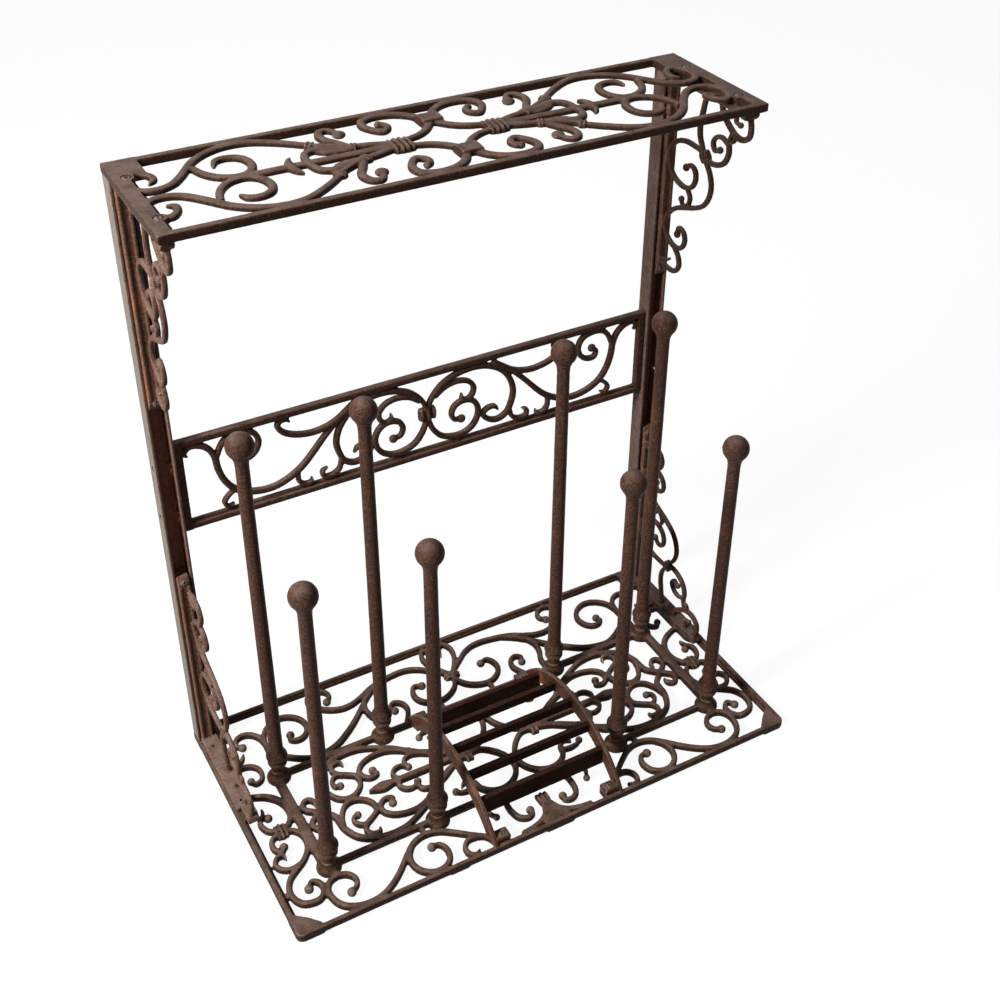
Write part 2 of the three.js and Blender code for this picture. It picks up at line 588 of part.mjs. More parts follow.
function basePiece() {
  const hollow = [
    [-halfLength + sideBarWidth, -halfDepth + plateAlongSide],
    [-halfLength + plateBelly, -halfDepth + plateBelly],
    [-halfLength + plateAlongFront, -halfDepth + endBarWidth],
  ];
  const back = [
    [-halfLength + padWidth, halfDepth - endBarWidth],
    [-halfLength + padWidth, halfDepth - padDepth],
    [-halfLength + landingWidth, halfDepth - padDepth],
    [-halfLength + landingWidth, landingFront],
    [-halfLength + sideBarWidth, landingFront - sideBarWidth],
  ];
  const mirrored = (points) => points.map(([x, y]) => [-x, y]).reverse();
  const window = [...hollow, ...mirrored(hollow), ...mirrored(back), ...back];
  const corner = (sx, sy, steps) => steps.map((angle) => [
    sx * (halfLength - cornerRadius + cornerRadius * Math.cos(angle)),
    sy * (halfDepth - cornerRadius + cornerRadius * Math.sin(angle)),
  ]);
  const steps = [0, Math.PI / 4, Math.PI / 2];
  const outline = [
    ...corner(1, 1, steps), ...corner(-1, 1, [...steps].reverse()),
    ...corner(-1, -1, steps), ...corner(1, -1, [...steps].reverse()),
  ];
  const frame = toSolid(extruded(outline, baseTop - footLift, [window]).translate(0, 0, footLift));
  const parts = [frame];
  const footTop = footLift + overrun;
  for (const sx of [-1, 1]) {
    for (const sy of [-1, 1]) {
      const foot = [
        [halfLength - cornerRadius, halfDepth], [halfLength, halfDepth - cornerRadius],
        [halfLength, halfDepth - plateAlongSide], [halfLength - sideBarWidth, halfDepth - plateAlongSide],
        [halfLength - plateBelly, halfDepth - plateBelly],
        [halfLength - plateAlongFront, halfDepth - endBarWidth], [halfLength - plateAlongFront, halfDepth],
      ];
      parts.push(toSolid(extruded(foot.map(([x, y]) => [sx * x, sy * y]), footTop)));
    }
  }
  for (const sy of [-1, 1]) {
    const edges = [sy * halfDepth, sy * (halfDepth - endBarWidth)].sort((a, b) => a - b);
    parts.push(block(-midFootLength / 2, midFootLength / 2, ...edges, 0, footTop));
  }
  for (const row of [rearRow, frontRow]) {
    parts.push(block(
      -outerColumn, outerColumn, row - innerBarWidth / 2, row + innerBarWidth / 2, footLift, baseTop));
    for (const column of columns) {
      parts.push(round(bossDiameter, column, row, footLift, bossTop - bossShoulder));
      parts.push(round(
        bossDiameter, column, row, bossTop - bossShoulder, bossTop, roundSides, socketDiameter));
    }
  }
  for (const column of [-outerColumn, outerColumn]) {
    parts.push(block(
      column - innerBarWidth / 2, column + innerBarWidth / 2, frontRow, rearRow, footLift, baseTop));
  }
  const fieldMiddle = (rearRow + frontRow) / 2;
  const fieldHalf = (rearRow - frontRow) / 2;
  for (const sx of [-1, 1]) {
    const inStrip = ([u, v]) => [-sx * u * halfLength, v * halfDepth];
    parts.push(...scrolls(stripShares, inStrip, baseScrollWidth, footLift, baseScrollTop));
    for (const sy of [-1, 1]) {
      const inField = ([u, v]) => [-sx * u * outerColumn, fieldMiddle - sy * v * fieldHalf];
      parts.push(...scrolls(fieldShares, inField, baseScrollWidth, footLift, baseScrollTop));
    }
    for (const [u, v, w, d] of claspShares) {
      parts.push(claspAt(sx * u * halfLength, v * halfDepth, w, d, baseScrollWidth, footLift, baseTop));
    }
    for (const [u0, u1, v0, v1] of linkShares) {
      const across = [sx * u0 * halfLength, sx * u1 * halfLength].sort((a, b) => a - b);
      parts.push(block(...across, v0 * halfDepth, v1 * halfDepth, footLift, baseScrollTop));
    }
    for (const [u, v, w, d] of fieldClaspShares) {
      for (const sy of [-1, 1]) {
        const y = fieldMiddle + sy * v * fieldHalf;
        parts.push(claspAt(sx * u * outerColumn, y, w, d, baseScrollWidth, footLift, baseTop));
      }
    }
    const spear = spearShares.map(([u, v]) => [sx * u * outerColumn, fieldMiddle + v * baseScrollWidth]);
    parts.push(toSolid(extruded(spear, baseScrollTop - footLift).translate(0, 0, footLift)));
    for (const y of scraperRows) {
      const x = sx * scraperLugPlace;
      const reach = lugDepth / 2 + overrun;
      parts.push(block(x - lugLength / 2, x + lugLength / 2, y - reach, y + reach, footLift, baseTop));
    }
  }
  const holes = [];
  for (const row of [rearRow, frontRow]) {
    for (const column of columns) {
      holes.push(round(boltDiameter + 2 * clearance, column, row, 0, bossTop + overrun, screwSides));
      holes.push(round(
        boltHeadDiameter + 2 * clearance, column, row, 0, footLift + boltHeadHeight + clearance, screwSides));
    }
  }
  for (const sx of [-1, 1]) {
    for (const y of [frontScrewPlace, rearScrewPlace]) {
      holes.push(round(bore, sx * uprightMiddle, y, 0, baseTop + overrun, screwSides));
      holes.push(round(headBore, sx * uprightMiddle, y, 0, footLift + headDepth, screwSides));
    }
    for (const y of scraperRows) {
      holes.push(round(bore, sx * scraperLugPlace, y, 0, baseTop + overrun, screwSides));
    }
  }
  return cut(joined(parts), holes);
}

// A post is turned in one piece: socket foot, double bead collar, tapered shaft, neck and ball.
function postPiece(ballCentre) {
  const ballRadius = ballDiameter / 2;
  const neckRadius = neckDiameter / 2;
  const bead = beadDiameter / 2;
  const foot = bossTop + clearance;
  const boreRadius = boltDiameter / 2 + clearance;
  const boreTop = foot + boltReach;
  const groove = (bead + shaftFootDiameter / 2) / 2;
  const neckTop = ballCentre - Math.sqrt(ballRadius ** 2 - neckRadius ** 2);
  const profile = [
    [0, boreTop], [boreRadius, boreTop], [boreRadius, foot], [socketDiameter / 2, foot],
    [bead, beadHeight - beadPitch / 2], [groove, beadHeight], [bead, beadHeight + beadPitch / 2],
    [shaftFootDiameter / 2, beadHeight + beadPitch],
    [shaftTopDiameter / 2, neckTop - neckLength], [neckRadius, neckTop],
  ];
  const startAngle = Math.atan2(neckTop - ballCentre, neckRadius);
  for (let step = 1; step < ballBands; step += 1) {
    const angle = startAngle + ((Math.PI / 2 - startAngle) * step) / ballBands;
    profile.push([ballRadius * Math.cos(angle), ballCentre + ballRadius * Math.sin(angle)]);
  }
  profile.push([0, ballCentre + ballRadius]);
  return lathed(profile, roundSides);
}

// A flat-headed fastener with its head below and its tip up, drawn from the underside of the head.
function fastener(diameter, length, headDiameter, headHeight) {
  const profile = [
    [0, -headHeight], [headDiameter / 2, -headHeight], [headDiameter / 2, 0], [diameter / 2, 0],
    [diameter / 2, length], [0, length],
  ];
  return lathed(profile, screwSides);
}

function uprightPiece(side) {
  const x = [uprightInner, uprightInner + uprightWall, uprightOuter - uprightWall, uprightOuter];
  const outline = [
    [x[0], channelFront], [x[1], channelFront], [x[1], webFace], [x[2], webFace], [x[2], channelFront],
    [x[3], channelFront], [x[3], backFace], [x[0], backFace],
  ];
  const foot = baseTop + clearance;
  const height = shelfUnder - clearance - foot;
  const body = toSolid(extruded(outline.map(([u, y]) => [side * u, y]), height).translate(0, 0, foot));
  const panelCentre = (panelTop + panelBottom) / 2;
  const through = uprightWall + 2 * overrun;
  const innerLeg = (side * (x[0] + x[1])) / 2;
  const outerLeg = (side * (x[2] + x[3])) / 2;
  const holes = [];
  for (const step of [-1, 1]) {
    const z = panelCentre + (step * panelScrewSpacing) / 2;
    holes.push(pin('x', bore, innerLeg, panelMiddle, z, through));
    holes.push(pin('x', accessHole, outerLeg, panelMiddle, z, through));
  }
  for (const z of [bracketTop - tipScrewDrop, bracketFoot + tipScrewDrop]) {
    holes.push(pin('y', bore, side * uprightMiddle, (webFace + backFace) / 2, z, through));
  }
  return cut(body, holes);
}

function shelfPiece() {
  const outer = halfLength;
  const half = shelfDepth / 2;
  const front = [[-outer + endPlateWidth, -half + shelfBarWidth]];
  const back = [
    [-outer + padWidth, half - shelfBarWidth],
    [-outer + padWidth, half - padDepth],
    [-outer + endPlateWidth, half - padDepth],
  ];
  const mirrored = (points) => points.map(([x, y]) => [-x, y]).reverse();
  const window = [...front, ...mirrored(front), ...mirrored(back), ...back];
  const outline = [
    [outer - shelfCornerCut, -half], [outer, -half + shelfCornerCut], [outer, half], [-outer, half],
    [-outer, -half + shelfCornerCut], [-outer + shelfCornerCut, -half],
  ];
  const parts = [toSolid(extruded(outline, shelfThickness, [window]))];
  const crown = shelfScrollTop;
  const claspTop = shelfThickness + claspRise;
  for (const sx of [-1, 1]) {
    for (const sy of [-1, 1]) {
      const inQuarter = ([u, v]) => [-sx * u * outer, -sy * v * half];
      parts.push(...scrolls(shelfShares, inQuarter, shelfScrollWidth, 0, crown));
    }
    const [u, v, w, d] = collarShares;
    parts.push(claspAt(sx * u * outer, v * half, w, d, shelfScrollWidth, 0, claspTop));
    const [budX, budY] = [sx * budPlaceShare * outer, budSideShare * half];
    const budTop = shelfScrollTop + budRise;
    parts.push(round(budDiameter, budX, budY, 0, shelfScrollTop));
    parts.push(round(budDiameter, budX, budY, shelfScrollTop, budTop, roundSides, budTopDiameter));
    const claspPlace = sx * claspPlaceShare * outer;
    const stem = [claspPlace, sx * stemStartShare * outer].sort((a, b) => a - b);
    parts.push(block(...stem, -stemWidth / 2, stemWidth / 2, 0, crown));
    for (const step of [-1, 0, 1]) {
      const x = claspPlace + step * (claspLength / 3);
      parts.push(block(
        x - claspRib / 2, x + claspRib / 2, -claspWidth / 2, claspWidth / 2, 0, claspTop));
    }
    parts.push(block(
      claspPlace - claspLength / 2, claspPlace + claspLength / 2,
      -claspWidth / 2 + claspRise, claspWidth / 2 - claspRise, 0, shelfThickness));
    const leafPlace = sx * leafPlaceShare * outer;
    parts.push(block(
      leafPlace - leafWidth / 2, leafPlace + leafWidth / 2, -leafLength / 2, leafLength / 2,
      0, claspTop));
    for (const y of [frontScrewPlace, rearScrewPlace]) {
      parts.push(round(lugDiameter, sx * uprightMiddle, y - shelfMiddle, 0, shelfThickness));
    }
  }
  for (const sy of [-1, 1]) {
    const y = sy * knotPlaceShare * half;
    parts.push(block(-knotWidth / 2, knotWidth / 2, y - knotDepth / 2, y + knotDepth / 2, 0, claspTop));
  }
  const holes = [];
  for (const sx of [-1, 1]) {
    for (const y of [frontScrewPlace - shelfMiddle, rearScrewPlace - shelfMiddle]) {
      holes.push(round(bore, sx * uprightMiddle, y, -overrun, shelfThickness + overrun, screwSides));
      holes.push(round(
        headBore, sx * uprightMiddle, y, shelfThickness - headDepth, shelfThickness + overrun, screwSides));
    }
  }
  return toGeometry(cut(joined(parts), holes)).translate(0, shelfMiddle, shelfUnder);
}

function panelPiece() {
  const halfHeight = (panelTop - panelBottom) / 2;
  const rectangle = (x, y) => [[-x, -y], [x, -y], [x, y], [-x, y]];
  const outline = rectangle(panelHalf, halfHeight);
  const window = rectangle(panelHalf - panelEndWidth, halfHeight - panelBarWidth);
  const parts = [toSolid(extruded(outline, panelThickness, [window]))];
  const floor = (panelThickness - panelScrollThickness) / 2;
  const crown = floor + panelScrollThickness;
  for (const side of [-1, 1]) {
    parts.push(...scrolls(
      panelShares, ([u, v]) => [side * u * panelHalf, v * halfHeight], panelScrollWidth, floor, crown));
  }
  for (const side of [-1, 1]) {
    const [u, v, w, d] = panelLinkShares;
    parts.push(claspAt(side * u * panelHalf, v * halfHeight, w, d, panelScrollWidth, floor, crown));
  }
  parts.push(block(
    -panelClaspWidth / 2, panelClaspWidth / 2, -panelClaspHeight / 2, panelClaspHeight / 2,
    0, panelThickness + claspRise));
  const holes = [];
  const depth = panelScrewLength - uprightWall - clearance;
  for (const side of [-1, 1]) {
    for (const step of [-1, 1]) {
      const x = side * (panelHalf - depth / 2 + overrun / 2);
      holes.push(pin('x', bore, x, (step * panelScrewSpacing) / 2, panelThickness / 2, depth + overrun));
    }
  }
  return toGeometry(cut(joined(parts), holes))
    .rotateX(Math.PI / 2)
    .translate(0, panelMiddle + panelThickness / 2, (panelTop + panelBottom) / 2);
}

// A bracket is drawn flat: first how far it stands forward of the back face, then how far below the shelf.
function bracketPiece() {
  const floor = -bracketThickness / 2;
  const crown = bracketThickness / 2;
  const inBracket = ([u, v]) => [u * bracketReach, v * bracketDrop];
  const stripStart = uprightDepth + clearance;
  const strip = [
    [stripStart, 0], [bracketReach, 0], [bracketReach, stripThickness / 2],
    [bracketReach - stripThickness, stripThickness], [stripStart, stripThickness],
  ];
  const tongueBack = uprightWall + clearance;
  const tongueFront = uprightDepth + tongueProud;
  const tongue = [
    [tongueBack, 0], [tongueFront, 0], [tongueFront, bracketDrop - tipScrewInset],
    [tongueFront - tipScrewInset / 2, bracketDrop], [tongueBack, bracketDrop],
  ];
  const parts = [
    toSolid(extruded(strip, stripWidth).translate(0, 0, -stripWidth / 2)),
    toSolid(extruded(tongue, tongueWidth).translate(0, 0, -tongueWidth / 2)),
    ...scrolls(bracketShares, inBracket, bracketScrollWidth, floor, crown),
  ];
  const knot = new THREE.BoxGeometry(bracketKnotLength, bracketKnotWidth, bracketThickness + 2 * claspRise);
  parts.push(toSolid(knot.rotateZ(-knotTurn).translate(...inBracket(bracketKnotShares), 0)));
  const screwDepth = shelfScrewLength - shelfThickness + screwHeadHeight;
  const holes = [
    pin('x', bore, (tongueBack + tongueFront) / 2, tipScrewDrop, 0, tongueFront - tongueBack + 2 * overrun),
    pin('x', headBore, tongueFront, tipScrewDrop, 0, 2 * headDepth),
  ];
  for (const y of [frontScrewPlace, rearScrewPlace]) {
    holes.push(pin('y', bore, backFace - y, (screwDepth - overrun) / 2, 0, screwDepth + overrun));
  }
  const flat = toGeometry(cut(joined(parts), holes));
  return flat.applyMatrix4(new THREE.Matrix4().set(0, 0, 1, 0, -1, 0, 0, 0, 0, -1, 0, 0, 0, 0, 0, 1));
}

function archOf(span, rise, foot, steps) {
  const radius = ((span / 2) ** 2 + rise ** 2) / (2 * rise);
  const points = [];
  for (let step = 0; step <= steps; step += 1) {
    const y = -span / 2 + (span * step) / steps;
    points.push([y, foot + rise - radius + Math.sqrt(radius ** 2 - y ** 2)]);
  }
  return points;
}

function scraperPiece() {
  const foot = baseTop + clearance;
  const outer = archOf(archSpan, archRise, foot, archSteps);
  const inner = archOf(archInnerSpan, archInnerRise, foot, archSteps).reverse();
  const radius = ((archSpan / 2) ** 2 + archRise ** 2) / (2 * archRise);
  const parts = [];
  for (const side of [-1, 1]) {
    const plate = extruded([...outer, ...inner], scraperPlate).translate(0, 0, -scraperPlate / 2);
    plate.applyMatrix4(new THREE.Matrix4().set(0, 0, 1, 0, 1, 0, 0, 0, 0, 1, 0, 0, 0, 0, 0, 1));
    parts.push(toSolid(plate.translate(side * scraperHalf, archMiddle, 0)));
    for (const y of scraperRows) {
      const x = side * scraperLugPlace;
      const reach = lugLength / 2 + overrun;
      parts.push(block(x - reach, x + reach, y - lugDepth / 2, y + lugDepth / 2, foot, foot + lugHeight));
    }
  }
  for (let step = -2; step <= 2; step += 1) {
    const y = step * bladePitch;
    const top = foot + archRise - radius + Math.sqrt(radius ** 2 - y ** 2) - bladeDrop;
    const height = Math.abs(step) === 2 ? endBladeHeight : bladeHeight;
    const [near, far] = [archMiddle + y - bladeThickness / 2, archMiddle + y + bladeThickness / 2];
    parts.push(block(-scraperHalf, scraperHalf, near, far, top - height, top));
  }
  const holes = [];
  for (const side of [-1, 1]) {
    for (const y of scraperRows) {
      const x = side * scraperLugPlace;
      holes.push(round(bore, x, y, foot - overrun, foot + lugHeight + overrun, screwSides));
      holes.push(round(headBore, x, y, foot + lugHeight - headDepth, foot + lugHeight + overrun, screwSides));
    }
  }
  return cut(joined(parts), holes);
}

addPiece('base_grate', toGeometry(basePiece()), iron);
for (const [row, y, ball] of [['rear', rearRow, rearBallCentre], ['front', frontRow, frontBallCentre]]) {
  columns.forEach((x, index) => {
    addPiece(`post_${row}_${index + 1}`, postPiece(ball), iron).position.set(x, y, 0);
    const seat = footLift + boltHeadHeight;
    const length = bossTop + boltReach - clearance - seat;
    const bolt = fastener(boltDiameter, length, boltHeadDiameter, boltHeadHeight);
    addPiece(`post_bolt_${row}_${index + 1}`, bolt, screwSteel, steelRoughness).position.set(x, y, seat);
  });
}
for (const [side, sign] of [['left', -1], ['right', 1]]) {
  addPiece(`upright_${side}`, toGeometry(uprightPiece(sign)), darkIron);
  const upper = addPiece(`upper_bracket_${side}`, bracketPiece(), iron);
  upper.position.set(sign * uprightMiddle, backFace, bracketTop);
  const lower = addPiece(`lower_bracket_${side}`, bracketPiece(), iron);
  lower.position.set(sign * uprightMiddle, backFace, bracketFoot);
  lower.rotation.y = Math.PI;
}
addPiece('top_shelf', shelfPiece(), iron);
addPiece('back_panel', panelPiece(), iron);
addPiece('boot_scraper', toGeometry(scraperPiece()), wornIron);

function addScrew(name, length, place, turn) {
  const geometry = fastener(screwDiameter, length, screwHeadDiameter, screwHeadHeight);
  const screw = addPiece(name, geometry, screwSteel, steelRoughness);
  screw.position.set(...place);
  screw.rotation.set(...turn);
}

const facingDown = [0, 0, 0];
const facingUp = [Math.PI, 0, 0];
for (const [side, sign] of [['left', -1], ['right', 1]]) {
  const x = sign * uprightMiddle;
  for (const [end, y] of [['front', frontScrewPlace], ['rear', rearScrewPlace]]) {
    addScrew(`shelf_screw_${side}_${end}`, shelfScrewLength, [x, y, rackHeight - screwHeadHeight], facingUp);
    addScrew(`base_screw_${side}_${end}`, shelfScrewLength, [x, y, footLift + screwHeadHeight], facingDown);
  }
  const tipPlace = channelFront - tongueProud + screwHeadHeight;
  for (const [level, z] of [['upper', bracketTop - tipScrewDrop], ['lower', bracketFoot + tipScrewDrop]]) {
    addScrew(`bracket_screw_${side}_${level}`, tipScrewLength, [x, tipPlace, z], [-Math.PI / 2, 0, 0]);
  }
  const headPlace = sign * (uprightInner + uprightWall + clearance);
  for (const [level, step] of [['upper', 1], ['lower', -1]]) {
    const z = (panelTop + panelBottom) / 2 + (step * panelScrewSpacing) / 2;
    const turn = [0, (-sign * Math.PI) / 2, 0];
    addScrew(`panel_screw_${side}_${level}`, panelScrewLength, [headPlace, panelMiddle, z], turn);
  }
  const lugTop = baseTop + clearance + lugHeight;
  for (const [end, y] of [['rear', scraperRows[0]], ['front', scraperRows[1]]]) {
    const place = [sign * scraperLugPlace, y, lugTop - screwHeadHeight];
    addScrew(`scraper_screw_${side}_${end}`, scraperScrewLength, place, facingUp);
  }
}

export default group;
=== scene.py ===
import math

import bmesh
import bpy
import numpy as np
from mathutils import Matrix, Vector


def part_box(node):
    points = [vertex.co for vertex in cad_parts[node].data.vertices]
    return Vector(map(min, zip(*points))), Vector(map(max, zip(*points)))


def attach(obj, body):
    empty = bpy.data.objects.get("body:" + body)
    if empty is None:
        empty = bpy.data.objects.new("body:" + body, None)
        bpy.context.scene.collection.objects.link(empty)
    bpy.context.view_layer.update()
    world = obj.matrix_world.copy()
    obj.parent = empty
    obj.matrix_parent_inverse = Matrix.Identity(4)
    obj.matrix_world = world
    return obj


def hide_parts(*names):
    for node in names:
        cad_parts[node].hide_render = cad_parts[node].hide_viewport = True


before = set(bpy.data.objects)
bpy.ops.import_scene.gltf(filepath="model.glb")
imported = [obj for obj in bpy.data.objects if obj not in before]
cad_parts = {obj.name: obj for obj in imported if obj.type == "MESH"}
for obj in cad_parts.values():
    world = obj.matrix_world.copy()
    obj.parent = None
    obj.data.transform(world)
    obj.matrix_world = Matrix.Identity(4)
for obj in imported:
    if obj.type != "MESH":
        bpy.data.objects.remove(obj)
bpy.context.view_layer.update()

# Boot rack in rusty cast iron. Sizes are in millimetres unless a name says otherwise, +Z up, +Y to the back.

mm = 0.001

camera = {
    "focalPixels": 1414.5,
    "imagePixels": 1000,
    "centrePixels": (521.4, 420.4),
    "place": (-605.5, -1110, 1323.8),
    "turn": (2.10875, -0.55005, 0.31005),   # a rotation vector, world to lens, lens Y down
}


def placeCamera():
    data = bpy.data.cameras.new("camera")
    data.sensor_width = 36
    data.lens = camera["focalPixels"] * data.sensor_width / camera["imagePixels"]
    data.shift_x = 0.5 - camera["centrePixels"][0] / camera["imagePixels"]
    data.shift_y = camera["centrePixels"][1] / camera["imagePixels"] - 0.5
    eye = bpy.data.objects.new("camera", data)
    bpy.context.collection.objects.link(eye)
    turn = Vector(camera["turn"])
    toLens = Matrix.Diagonal((1, -1, -1)) @ Matrix.Rotation(turn.length, 3, turn)
    eye.matrix_world = Matrix.Translation(Vector(camera["place"]) * mm) @ toLens.transposed().to_4x4()
    bpy.context.scene.camera = eye


placeCamera()
print("camera placed")

# Scroll bars of the castings: the width as a share of the bar width of the casting, how each end is made,
# and the path in thousandths of what the scrolls fill: of half its length and half its depth, or of the
# whole reach and drop of a bracket.

stripShares = [
    (1.03, "ball", "plain", [(-769, -825), (-745, -798), (-735, -752), (-750, -693), (-783, -667), (-818, -687),
        (-836, -744), (-835, -819), (-818, -888), (-783, -936), (-738, -957), (-683, -945), (-635, -899),
        (-586, -825), (-538, -733), (-495, -667), (-447, -643), (-398, -664), (-356, -718), (-308, -790),
        (-274, -836)]),
    (1.03, "ball", "plain", [(-450, -756), (-423, -761), (-408, -819), (-417, -899), (-450, -945), (-489, -945),
        (-526, -894), (-540, -819), (-531, -744), (-508, -687)]),
    (0.87, "tip", "plain", [(-306, -922), (-326, -955), (-347, -934), (-351, -876), (-329, -828), (-295, -825),
        (-265, -853), (-250, -911), (-250, -980)]),
    (0.97, "ball", "plain", [(-68, -802), (-66, -836), (-89, -853), (-117, -825), (-129, -761), (-129, -681),
        (-114, -570)]),
    (0.97, "plain", "plain", [(5, -761), (-14, -842), (-47, -911), (-95, -943), (-144, -951)]),
    (0.81, "ball", "plain", [(-189, -744), (-205, -681), (-211, -570)]),
    (1.03, "ball", "plain", [(-891, -672), (-872, -628), (-850, -664), (-848, -725), (-868, -775), (-898, -782),
        (-931, -759), (-950, -698), (-951, -624), (-932, -549), (-898, -497), (-862, -449), (-834, -384),
        (-821, -307), (-826, -239), (-844, -189), (-864, -166)]),
    (0.87, "tip", "plain", [(-911, -384), (-916, -348), (-938, -348), (-954, -399), (-941, -451), (-911, -476),
        (-874, -460)]),
    (0.97, "ball", "plain", [(-900, -284), (-911, -319), (-927, -299), (-934, -244), (-923, -193),
        (-892, -173)]),
    (0.97, "ball", "plain", [(-902, -9), (-918, 18), (-934, -14), (-934, -66), (-920, -118), (-892, -148)]),
    (0.73, "plain", "tip", [(-926, 3), (-912, 43), (-909, 91)]),
    (1.13, "plain", "plain", [(-947, 227), (-914, 210), (-874, 172), (-844, 114), (-826, 37), (-827, -55),
        (-847, -118), (-866, -143)]),
    (0.9, "ball", "plain", [(-894, 351), (-882, 314), (-858, 330), (-846, 388), (-853, 448), (-880, 489),
        (-945, 492)]),
    (1, "ball", "plain", [(-864, 675), (-880, 704), (-874, 758), (-846, 784), (-815, 765), (-792, 710),
        (-783, 624), (-792, 450)]),
    (0.81, "plain", "tip", [(-945, 550), (-895, 552), (-870, 618)]),
    (1, "ball", "plain", [(-683, 627), (-692, 586), (-672, 558), (-641, 566), (-618, 618), (-612, 687),
        (-628, 756), (-659, 802), (-695, 816), (-738, 784), (-768, 724), (-783, 624)]),
    (1, "ball", "plain", [(-494, 804), (-474, 848), (-483, 905), (-520, 938), (-553, 905), (-561, 836),
        (-538, 773), (-502, 719), (-456, 687), (-411, 693), (-362, 730), (-320, 773), (-277, 799), (-229, 816),
        (-186, 825), (-144, 816), (-105, 784), (-68, 727), (-29, 664), (0, 624)]),
    (1, "plain", "plain", [(-783, 480), (-738, 445), (-695, 388), (-647, 346), (-598, 350), (-544, 382),
        (-489, 451), (-441, 526), (-395, 612), (-356, 687), (-317, 747), (-280, 790)]),
    (1.03, "plain", "plain", [(-365, 675), (-379, 595), (-374, 514), (-356, 434), (-353, 320)]),
    (0.97, "ball", "plain", [(-282, 480), (-292, 526), (-271, 555), (-244, 526), (-235, 463), (-247, 399),
        (-275, 320)]),
    (0.9, "tip", "plain", [(11, 830), (20, 905), (44, 942), (63, 875), (56, 779), (35, 704), (5, 624)]),
    (1.03, "ball", "plain", [(-132, 616), (-161, 635), (-180, 578), (-180, 509), (-159, 451), (-117, 411),
        (-68, 425), (-26, 478), (-5, 543), (0, 601)]),
]

fieldShares = [
    (1.04, "tip", "plain", [(-922, 144), (-920, 236), (-937, 308), (-960, 301), (-975, 223), (-971, 131),
        (-952, 72), (-906, -59), (-872, -183), (-865, -328), (-862, -459), (-826, -716), (-761, -865),
        (-685, -917), (-609, -891), (-544, -794), (-475, -668)]),
    (0.94, "plain", "tip", [(-859, -498), (-845, -275), (-816, -105), (-775, -34), (-727, -79), (-691, -223),
        (-690, -385), (-727, -490), (-761, -564), (-778, -674), (-761, -779), (-727, -786), (-717, -695)]),
    (0.9, "ball", "plain", [(-778, -333), (-801, -354), (-803, -459), (-781, -543), (-750, -558)]),
    (0.97, "ball", "plain", [(-610, -375), (-597, -280), (-632, -249), (-662, -322), (-668, -459), (-643, -569),
        (-597, -642), (-536, -663), (-483, -616), (-429, -498)]),
    (0.9, "ball", "plain", [(-455, -170), (-483, -249), (-521, -223), (-540, -118), (-521, -8)]),
    (0.94, "plain", "plain", [(-462, -210), (-455, -333), (-419, -385), (-380, -354), (-334, -262),
        (-292, -170)]),
    (1.13, "plain", "plain", [(-475, -668), (-426, -511), (-380, -380), (-326, -275), (-258, -135),
        (-185, -60)]),
    (1, "plain", "tip", [(-177, -66), (-116, -52), (-63, -183), (-25, -380), (-13, -590), (-36, -779),
        (-82, -910), (-132, -952), (-181, -910), (-219, -786), (-233, -616), (-265, -543), (-296, -616)]),
    (0.87, "plain", "ball", [(-227, -708), (-269, -734), (-311, -708), (-330, -655)]),
]

shelfShares = [
    (1.02, "tip", "plain", [(-906, -290), (-885, -360), (-889, -485), (-917, -590), (-947, -530), (-961, -361),
        (-955, -213), (-927, -116), (-886, -100), (-848, -161), (-815, -288), (-782, -456), (-749, -621),
        (-706, -751), (-658, -835), (-605, -865), (-550, -830), (-498, -723), (-453, -599), (-405, -440),
        (-385, -360)]),
    (1, "tip", "plain", [(-706, -394), (-688, -521), (-652, -548), (-618, -480), (-603, -332), (-612, -151),
        (-642, -40), (-683, -38), (-722, -122), (-749, -264), (-764, -457)]),
    (1.05, "ball", "plain", [(-294, -580), (-300, -680), (-318, -755), (-340, -735), (-353, -620), (-348, -500),
        (-326, -361), (-302, -190)]),
    (1, "blunt", "plain", [(-156, -640), (-142, -600), (-140, -500), (-165, -425), (-188, -510), (-204, -655),
        (-194, -791), (-147, -865), (-83, -830), (-41, -712), (-20, -587), (0, -474), (18, -361), (50, -225),
        (86, -139), (150, -70)]),
]

panelShares = [
    (1.03, "plain", "tip", [(4, 26), (8, 205), (30, 406), (70, 603), (122, 726), (181, 781), (243, 759),
        (298, 651), (343, 465), (373, 212), (384, -66), (373, -327), (354, -524), (313, -628), (270, -561),
        (245, -390), (270, -286), (298, -293), (316, -412)]),
    (0.91, "tip", "plain", [(153, 250), (153, 131), (177, 71), (199, 168), (204, 343), (177, 503), (129, 566),
        (78, 510), (33, 343)]),
    (1.03, "ball", "plain", [(148, -353), (118, -327), (106, -159), (123, 8), (164, 71), (201, -3), (223, -189),
        (220, -420), (197, -606), (155, -717), (107, -717), (59, -624), (23, -401), (6, -159), (4, 26)]),
    (1, "tip", "plain", [(560, 720), (573, 800), (596, 815), (609, 726), (594, 566), (552, 428), (482, 350),
        (431, 372), (379, 465), (331, 640), (291, 800)]),
    (1.08, "plain", "tip", [(379, 436), (431, 175), (475, -78), (519, -316), (556, -457), (596, -561),
        (641, -628), (692, -628), (749, -550), (795, -401), (828, -159), (847, 138), (855, 436), (876, 659),
        (909, 778), (944, 800), (964, 690), (952, 585)]),
    (1, "ball", "plain", [(751, 436), (773, 343), (763, 212), (727, 212), (696, 343), (686, 547), (707, 741),
        (755, 815), (800, 778), (828, 640), (847, 417)]),
    (0.91, "tip", "plain", [(425, -550), (447, -606), (444, -736), (409, -762), (379, -662), (368, -457)]),
    (0.91, "tip", "plain", [(491, -673), (496, -773), (526, -773), (545, -662), (545, -438)]),
    (0.84, "tip", "plain", [(800, -720), (825, -770), (839, -643), (823, -520), (795, -420)]),
]

